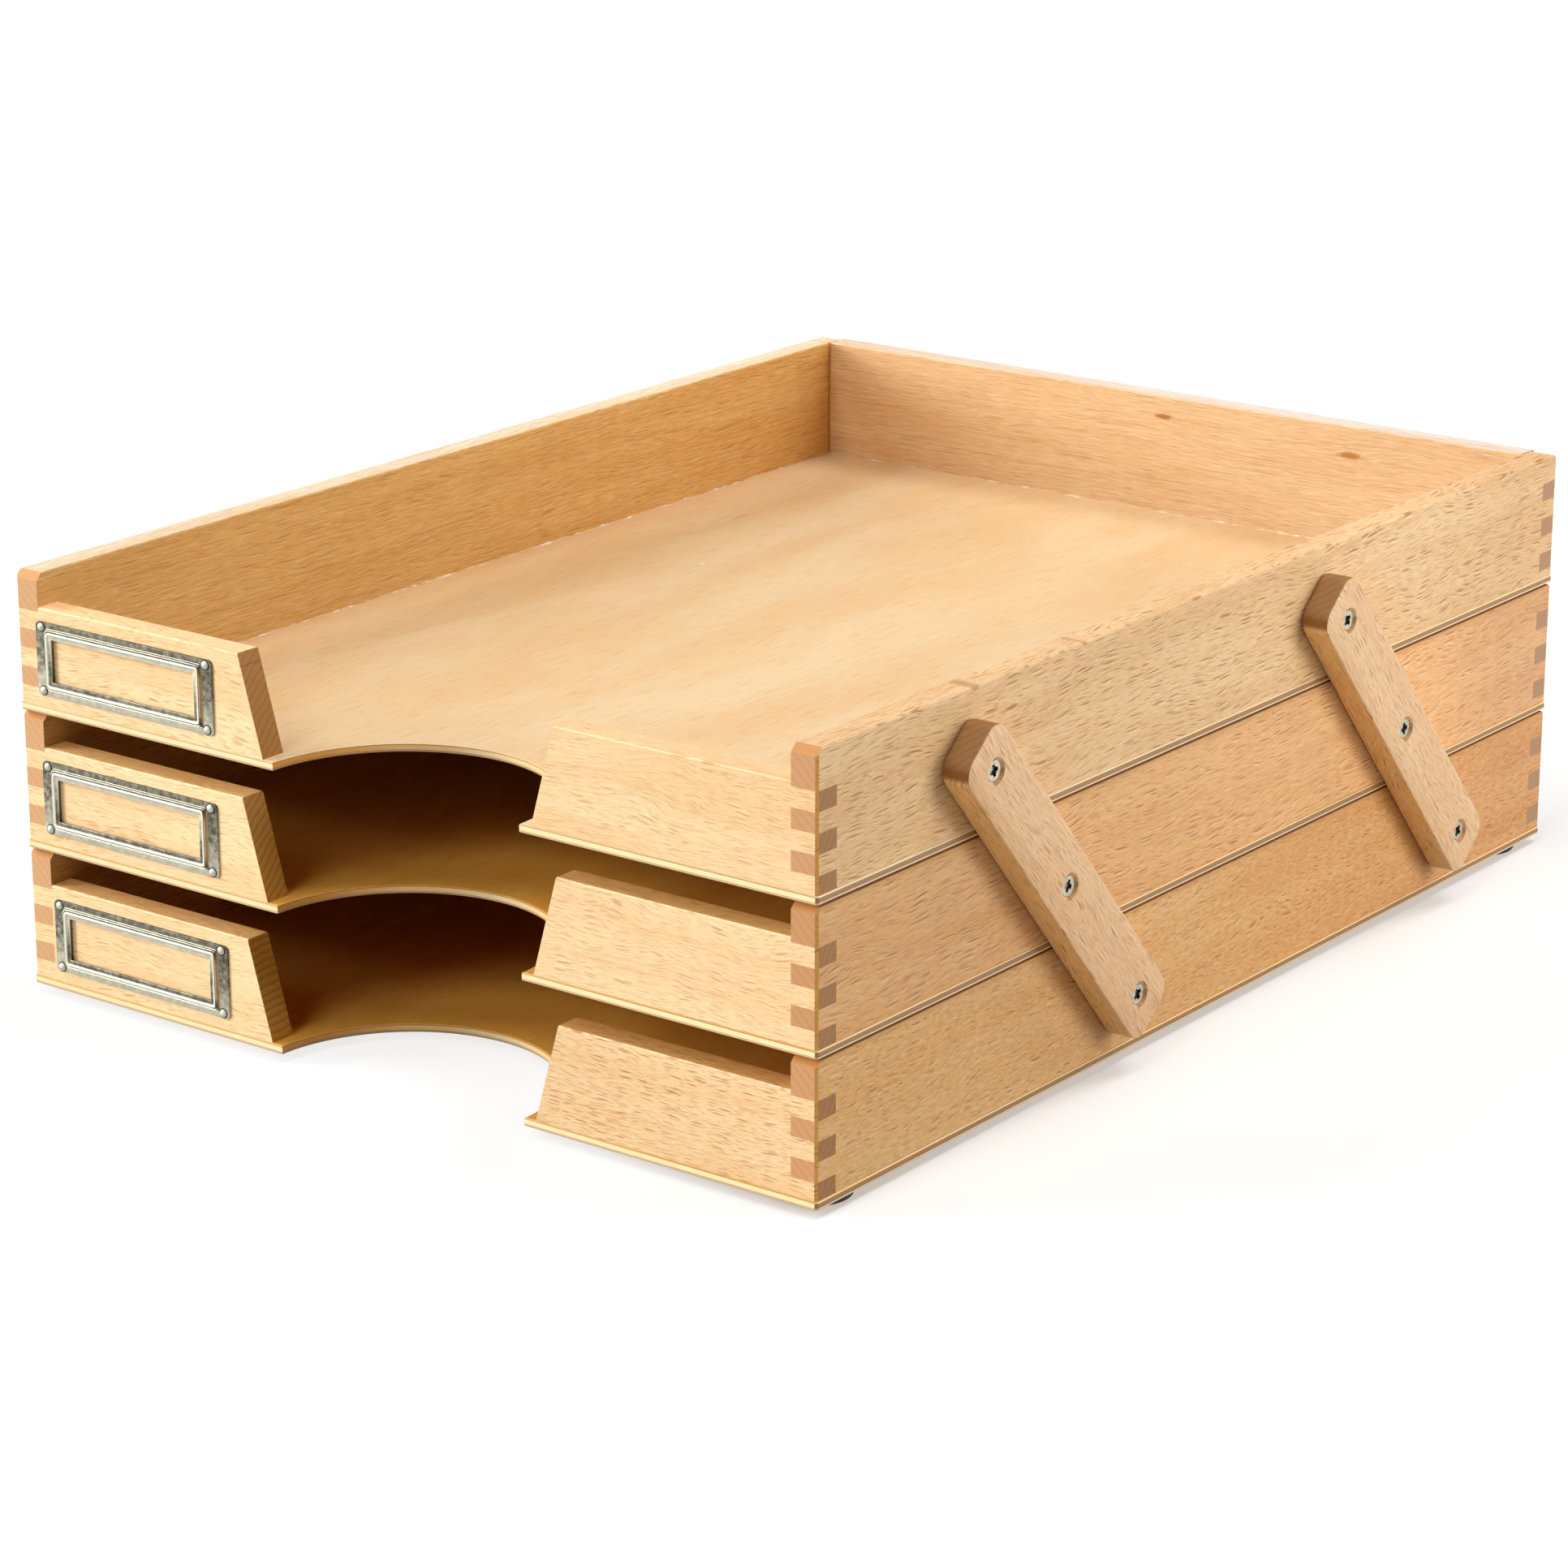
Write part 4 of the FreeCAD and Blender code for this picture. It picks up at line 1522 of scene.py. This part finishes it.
@dataclass
class Foot:
    """A round rubber foot, turned with soft edges and a shallow dish below. Sizes in metres."""

    name: str
    material: bpy.types.Material
    soft: float = 0.0007
    steps: int = 48
    soft_steps: int = 6

    DISH = (0.45, 0.62)

    def build(self) -> bpy.types.Object:
        """The foot in its place."""
        low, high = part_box(self.name)
        middle = (low + high) / 2
        radius, soft = (high.x - low.x) / 2, self.soft
        dish, rim = (part * radius for part in self.DISH)
        profile = [(dish, low.z + 0.4 * soft), (rim, low.z), (radius - soft, low.z)]
        for k in range(1, self.soft_steps):
            angle = math.radians(90 / (self.soft_steps - 1) * k)
            profile.append((radius - soft + soft * math.sin(angle), low.z + soft - soft * math.cos(angle)))
        profile += [(radius, high.z - 0.3 * soft), (radius - 0.3 * soft, high.z)]
        angles = [2 * math.pi * k / self.steps for k in range(self.steps)]
        rings = [
            [Vector((middle.x + reach * math.cos(a), middle.y + reach * math.sin(a), z)) for a in angles]
            for reach, z in profile
        ]
        mesh = rings_mesh(self.name + "_pad", rings, closed=False)
        smooth(mesh, 50.0)
        piece = object_of(self.name + "_pad", mesh)
        dress(piece, self.material)
        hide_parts(self.name)
        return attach(piece, "bottom_tray")


# --------------------------------------------------------------------------------------------------- the studio


@dataclass
class Studio:
    """White floor, soft lights and the camera. Places in metres, angles in degrees."""

    azimuth: float = 37.021
    elevation: float = 17.819
    lens: float = 108.01
    sensor: float = 36.0
    clip: tuple[float, float] = (0.05, 50.0)
    ambient: float = 0.02
    mirrored_sky: float = 0.5
    floor_size: float = 12.0
    floor_bounce: Colour = (0.36, 0.352, 0.343)
    floor_shade: tuple[float, float] = (0.22, 0.68)
    floor_shade_tint: Colour = (0.88, 0.94, 1.0)
    floor_shade_ends: tuple[float, float] = (0.02, 0.16)
    floor_light: float = 1.12
    floor_glow: float = 1.03
    sun_angle: float = 26.0

    EYE = Vector((0.7326, -0.9879, 0.4328))

    # Name, azimuth and elevation that it shines from, and how brightly it lights a white surface that faces it
    SUNS = (("low key", -52.0, 12.0, 0.90), ("high key", -70.0, 40.0, 0.42), ("front fill", 0.0, 40.0, 0.32),
            ("top", 0.0, 85.0, 0.17), ("back", 150.0, 65.0, 0.40))
    PANEL_PLACE = Vector((0.98, 0.46, 0.32))
    PANEL_AIM = Vector((0.1, 0.03, 0.06))
    PANEL_SIZE = 0.6
    PANEL_POWER = 7.9

    def camera(self) -> None:
        """Places the camera."""
        data = bpy.data.cameras.new("camera")
        data.lens, data.sensor_width = self.lens, self.sensor
        data.clip_start, data.clip_end = self.clip
        made = object_of("camera", data)
        made.location = self.EYE
        made.rotation_euler = (math.radians(90 - self.elevation), 0.0, math.radians(self.azimuth))
        bpy.context.scene.camera = made

    def world(self) -> None:
        """A dim sky that the camera sees as white and that mirrors see as grey."""
        world = bpy.data.worlds.new("studio")
        world.use_nodes = True
        world.node_tree.nodes.clear()
        d = Draft(world.node_tree)
        path = d.node("ShaderNodeLightPath").outputs
        mirrored = d.mul_add(path["Is Glossy Ray"], self.mirrored_sky, self.ambient)
        strength = d.maths("MAXIMUM", path["Is Camera Ray"], mirrored)
        sky = d.node("ShaderNodeBackground", {"Color": WHITE, "Strength": strength})
        d.node("ShaderNodeOutputWorld", {"Surface": sky.outputs[0]})
        bpy.context.scene.world = world

    def floor(self) -> None:
        """A white floor that keeps the object's shadow: what light it lacks of full white, it glows with itself."""
        half = self.floor_size / 2
        mesh = bpy.data.meshes.new("floor")
        mesh.from_pydata([(-half, -half, 0), (half, -half, 0), (half, half, 0), (-half, half, 0)], [], [(0, 1, 2, 3)])
        piece = object_of("floor", mesh)
        paint = bpy.data.materials.new("white floor")
        paint.use_nodes = True
        paint.node_tree.nodes.clear()
        d = Draft(paint.node_tree)
        path = d.node("ShaderNodeLightPath").outputs
        seen = d.maths("MAXIMUM", path["Is Camera Ray"], path["Is Glossy Ray"])
        across = d.split(d.node("ShaderNodeTexCoord").outputs["Object"])[0]
        low, high = self.floor_shade
        shade = d.mul_add(d.step(across, *self.floor_shade_ends), high - low, low)
        shaded = d.blend(1.0, d.join(shade, shade, shade), self.floor_shade_tint, "MULTIPLY")
        matt = d.node("ShaderNodeBsdfDiffuse", {"Color": d.blend(seen, self.floor_bounce, shaded)})
        lack = d.vector("MULTIPLY_ADD", shaded, (-self.floor_light,) * 3, (self.floor_glow,) * 3)
        glow = d.node("ShaderNodeEmission", {"Color": lack, "Strength": seen})
        both = d.node("ShaderNodeAddShader", {0: matt.outputs[0], 1: glow.outputs[0]})
        d.node("ShaderNodeOutputMaterial", {"Surface": both.outputs[0]})
        mesh.materials.append(paint)

    def _sun(self, name: str, azimuth: float, elevation: float, level: float) -> None:
        """A far soft light.

        Args:
            name: The light's name.
            azimuth: The side that it shines from, in degrees.
            elevation: How high it stands, in degrees.
            level: How brightly it lights a white surface that faces it.
        """
        data = bpy.data.lights.new(name, "SUN")
        data.energy, data.angle = level * math.pi, math.radians(self.sun_angle)
        object_of(name, data).rotation_euler = (math.radians(90 - elevation), 0.0, math.radians(azimuth))

    def _panel(self) -> None:
        """A square soft light near the object."""
        data = bpy.data.lights.new("side panel", "AREA")
        data.energy, data.size = self.PANEL_POWER, self.PANEL_SIZE
        made = object_of("side panel", data)
        made.location = self.PANEL_PLACE
        made.rotation_euler = (self.PANEL_PLACE - self.PANEL_AIM).to_track_quat("Z", "Y").to_euler()

    def lights(self) -> None:
        """Soft lights low and high on the left, a fill in front, two above, and a panel behind the right side."""
        for sun in self.SUNS:
            self._sun(*sun)
        self._panel()

    def build(self) -> None:
        """Everything round the object."""
        bpy.context.scene.view_settings.view_transform = "Standard"
        self.camera()
        self.world()
        self.floor()
        self.lights()


# ------------------------------------------------------------------------------------------------------ the tray


@dataclass
class TrayStack:
    """The three trays and their links, dressed and detailed."""

    grain: BeechGrain = field(default_factory=BeechGrain)

    # Right sides: tones partly painted light, lighter towards the rear on top and middle; last tones paint shade at the
    # rear
    SIDE_TOP = BeechLook(
        pale=(0.80, 0.55, 0.275), warm=(0.74, 0.47, 0.215), fleck=(0.37, 0.15, 0.025), fleck_length=10.5,
        fleck_width=0.82, fleck_strength=0.97, low_tone=(0.97, 0.95, 0.94), high_tone=(1.04, 1.03, 1.05),
        painted_tail_shade=(0.90, 0.86, 0.82), arris=(0.94, 0.47, 0.08), end_pale=(0.64, 0.34, 0.16),
        end_dark=(0.50, 0.25, 0.10))
    SIDE_MIDDLE = BeechLook(
        pale=(0.80, 0.445, 0.18), warm=(0.74, 0.38, 0.14), fleck=(0.40, 0.15, 0.03), fleck_length=11.0,
        fleck_width=0.82, fleck_share=0.82, fleck_strength=0.97, low_tone=(0.90, 0.91, 0.91),
        high_tone=(1.13, 1.15, 1.18), painted_tail_shade=(0.80, 0.77, 0.80), arris=(0.94, 0.45, 0.09),
        end_pale=(0.66, 0.33, 0.14), end_dark=(0.50, 0.23, 0.09))
    SIDE_BOTTOM = BeechLook(
        pale=(0.77, 0.45, 0.17), warm=(0.72, 0.375, 0.12), fleck=(0.34, 0.13, 0.02), fleck_length=8.5,
        fleck_width=1.20, fleck_share=0.55, fleck_strength=0.85, low_tone=(0.95, 0.97, 0.98),
        high_tone=(0.98, 0.87, 0.76), painted_tail_shade=(0.90, 0.88, 0.96), mottle=0.30, streaks=0.25,
        arris=(0.94, 0.46, 0.09), end_pale=(0.66, 0.33, 0.14), end_dark=(0.50, 0.23, 0.09))
    # Left sides: colours darkened as painted shade for their inner faces; the edge tint lifts their top edges back
    LEFT = BeechLook(
        pale=(0.68, 0.39, 0.130), warm=(0.63, 0.335, 0.095), fleck=(0.30, 0.11, 0.015), fleck_length=14.0,
        fleck_width=0.52, fleck_strength=0.55, streaks=0.50, wander=5.0, edge=(1.25, 1.62, 3.3),
        low_tone=(1.02, 1.05, 1.0), high_tone=(1.12, 1.12, 1.08), arris=(0.80, 0.52, 0.26),
        end_pale=(0.70, 0.38, 0.19), end_dark=(0.58, 0.29, 0.12))
    BACK = BeechLook(
        pale=(0.78, 0.49, 0.245), warm=(0.74, 0.43, 0.195), fleck=(0.46, 0.21, 0.05), fleck_length=14.0,
        fleck_width=0.42, fleck_strength=0.60, streaks=0.45, wander=5.0, low_tone=(1.0, 1.04, 1.06),
        high_tone=(0.88, 0.99, 1.16), end_pale=(0.50, 0.25, 0.11), end_dark=(0.36, 0.165, 0.065),
        edge=(1.12, 1.32, 1.95), arris=(0.80, 0.52, 0.28))
    FRONT = BeechLook(
        pale=(0.90, 0.64, 0.345), warm=(0.88, 0.565, 0.28), fleck=(0.54, 0.26, 0.06), wander=14.0,
        fleck_length=9.5, fleck_width=0.72, fleck_share=0.66, fleck_strength=0.80, arris=(0.92, 0.46, 0.09),
        end_pale=(0.38, 0.18, 0.060), end_dark=(0.27, 0.115, 0.035), ring_turn=60.0)
    # Lower fronts: top edges darkened as painted shade under the tray above
    MIDDLE_FRONT = replace(FRONT, edge=(0.74, 0.60, 0.37))
    LOWEST_FRONT = replace(
        MIDDLE_FRONT, fleck=(0.48, 0.19, 0.03), fleck_length=7.4, fleck_width=0.60, fleck_share=0.90,
        fleck_strength=0.95, wander=5.0, low_tone=(0.96, 0.94, 0.92), high_tone=(0.96, 0.94, 0.92))
    SLANTED_FRONT = replace(
        FRONT, pale=(0.94, 0.69, 0.385), warm=(0.92, 0.61, 0.31), arris=(0.55, 0.29, 0.07),
        end_pale=(0.40, 0.172, 0.016), end_dark=(0.21, 0.075, 0.006), ring_width=1.9, ring_turn=35.0,
        low_tone=(1.08, 1.06, 1.04), high_tone=(1.08, 1.06, 1.04))
    # Lower slanted fronts: top edges darkened as painted shade, end grain lightened as painted light
    MIDDLE_SLANTED_FRONT = replace(
        SLANTED_FRONT, edge=(0.86, 0.72, 0.50), end_pale=(0.66, 0.33, 0.055), end_dark=(0.26, 0.095, 0.008))
    LOWEST_SLANTED_FRONT = replace(MIDDLE_SLANTED_FRONT, ring_turn=4.0)
    BAR = BeechLook(
        pale=(0.79, 0.515, 0.28), warm=(0.74, 0.45, 0.225), edge=(1.20, 1.16, 0.87), fleck=(0.38, 0.16, 0.03),
        fleck_length=10.5, fleck_width=0.84, fleck_share=0.66, fleck_strength=0.92,
        end_pale=(0.38, 0.19, 0.07), end_dark=(0.25, 0.115, 0.035), arris=(0.52, 0.29, 0.11))

    # From the lowest tray up: the right side and the two halves of the front
    TRAY_LOOKS = (
        (SIDE_BOTTOM, LOWEST_SLANTED_FRONT, LOWEST_FRONT),
        (SIDE_MIDDLE, MIDDLE_SLANTED_FRONT, MIDDLE_FRONT),
        (SIDE_TOP, SLANTED_FRONT, FRONT),
    )
    BOARD_SEEDS = (1.0, 7.3)
    FLOOR_SEEDS = (1.0, 2.7)
    BAR_SEEDS = (31.0, 1.9)
    # Lower floors: darker, deeper colours as painted shade under the tray above
    SHADED_LOWER_FLOOR = {"pale": (0.77, 0.405, 0.075), "warm": (0.70, 0.33, 0.045)}
    # Lifts the left sides' outer faces back from the painted shade that their colours hold
    LEFT_OUTER_TINT = (1.02, 1.15, 1.85)

    MARKS = {
        "top_back": (
            Mark(1.9, -109.2, 8.5, 2.4, (0.36, 0.13, 0.015)), Mark(65.8, -106.8, 11.0, 2.8, (0.40, 0.14, 0.02)),
            Mark(-10.0, -85.5, 5.0, 1.3, (0.55, 0.28, 0.08), 0.6)),
        "top_right_side": (
            Mark(-111.9, 115.3, 5.0, 3.0, (0.42, 0.20, 0.07), 0.7),
            Mark(-65.2, 115.3, 3.0, 2.4, (0.42, 0.20, 0.07), 0.6)),
        "top_left_side": (Mark(167.3, 98.0, 0.9, 70.0, (0.22, 0.10, 0.03), 0.8),),
        "top_front_left": (Mark(-49.4, -103.1, 2.4, 0.65, (0.12, 0.05, 0.015), 0.85),),
    }
    SPLINTERS = (
        Mark(88.0, -95.2, 13.0, 0.8, (0.40, 0.22, 0.06), 0.8, -0.08),
        Mark(168.5, -55.9, 9.0, 0.9, (0.50, 0.28, 0.08), 0.7, -0.15),
        Mark(36.5, -71.3, 4.0, 0.9, (0.50, 0.30, 0.10), 0.5),
        Mark(39.0, -71.0, 3.0, 1.0, (1.0, 0.95, 0.85), 0.9))

    LABEL_STEEL = SteelFinish(
        "tinned steel", (0.085, 0.078, 0.058), (0.35, 0.325, 0.235), (0.70, 0.67, 0.53), 0.42, 1.9)
    NAIL_STEEL = SteelFinish(
        "nickel plate", (0.44, 0.44, 0.36), (0.54, 0.54, 0.45), (0.8, 0.8, 0.7), 0.44)
    SCREW_ZINC = SteelFinish(
        "bright zinc", (0.36, 0.33, 0.25), (0.50, 0.47, 0.37), (0.6, 0.6, 0.5), 0.42)
    WASHER_STEEL = SteelFinish(
        "plain steel", (0.24, 0.23, 0.21), (0.42, 0.41, 0.38), (0.8, 0.8, 0.75), 0.40)

    def _board(self, node: str, grain: Grain, look: BeechLook, seed: float) -> None:
        """Gives one of the frame's boards its own beech.

        Args:
            node: The board's node.
            grain: The way its fibres run.
            look: How it looks.
            seed: Where in the beech it is cut from.
        """
        touched = node in ("bottom_right_side", "middle_right_side")
        finish = BeechFinish(f"beech {node}", grain, self.grain.tree, look, seed, marks=self.MARKS.get(node, ()),
                             covered=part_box(node)[1].z / MM if touched else None,
                             outer_tint=self.LEFT_OUTER_TINT if look is self.LEFT else None)
        coat(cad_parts[node], finish.material())
        LOG.info("board %s dressed, fibres along %s", node, grain.value)

    def boards(self) -> None:
        """Dresses the fifteen boards."""
        first, per_tray = self.BOARD_SEEDS
        for index, (tray, (side, slanted, front)) in enumerate(zip(TRAYS, self.TRAY_LOOKS)):
            boards = (("left_side", Grain.ALONG_Y, self.LEFT, 0.0), ("right_side", Grain.ALONG_Y, side, 1.1),
                      ("back", Grain.ALONG_X, self.BACK, 2.3), ("front_left", Grain.ALONG_X, slanted, 3.7),
                      ("front_right", Grain.ALONG_X, front, 4.9))
            for board, grain, look, step in boards:
                self._board(f"{tray}_{board}", grain, look, first + per_tray * index + step)

    def floors(self) -> None:
        """Builds and dresses the three plywood floors."""
        first, per_tray = self.FLOOR_SEEDS
        for index, tray in enumerate(TRAYS):
            low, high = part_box(f"{tray}_floor_panel")
            own = {"marks": self.SPLINTERS} if tray == "top" else self.SHADED_LOWER_FLOOR
            seed = first + per_tray * index
            finish = PlyFinish(f"plywood {tray}", low.z / MM, (high.z - low.z) / MM, seed, **own)
            piece = FloorPanel(tray, finish.material()).build()
            LOG.info("floor panel %s: %d faces", piece.name, len(piece.data.polygons))

    def bars(self) -> None:
        """Builds and dresses the four link bars."""
        low, _, high = (screw_places(tray, Side.RIGHT)[0] for tray in TRAYS)
        lean = math.atan2(low.y - high.y, high.z - low.z)
        first, per_bar = self.BAR_SEEDS
        materials = {}
        for k, name in enumerate(("link_left_front", "link_left_rear", "link_right_front", "link_right_rear")):
            seed = first + per_bar * k
            finish = BeechFinish(f"beech {name}", Grain.ALONG_BAR, self.grain.tree, self.BAR, seed, lean)
            materials[name] = finish.material()
        for piece in LinkBars(materials).build():
            LOG.info("link bar %s: %d faces", piece.name, len(piece.data.polygons))

    def hardware(self) -> None:
        """Builds and dresses the label frames, nails, screws, washers and feet."""
        finishes = (self.LABEL_STEEL, self.NAIL_STEEL, self.SCREW_ZINC, self.WASHER_STEEL, RubberFinish(), GlueFinish())
        label, nail, zinc, dull, rubber, glue = (finish.material() for finish in finishes)
        for tray in TRAYS:
            for part, material in ((GlueBead, glue), (LabelFrame, label), (LabelNails, nail), (PivotScrews, zinc)):
                piece = part(tray, material).build()
                LOG.info("%s %s: %d faces", part.__name__, piece.name, len(piece.data.polygons))
            coat(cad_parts[f"{tray}_pivot_washers"], dull)
        for name in (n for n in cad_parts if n.startswith("foot_")):
            piece = Foot(name, rubber).build()
            LOG.info("foot %s: %d faces", piece.name, len(piece.data.polygons))

    def build(self) -> None:
        """Everything that belongs to the object."""
        self.boards()
        self.floors()
        self.bars()
        self.hardware()


def main() -> None:
    """Builds the studio and the tray stack."""
    logging.basicConfig(level=logging.INFO, format="%(name)s: %(message)s")
    Studio().build()
    TrayStack().build()


if __name__ == "__main__":
    main()
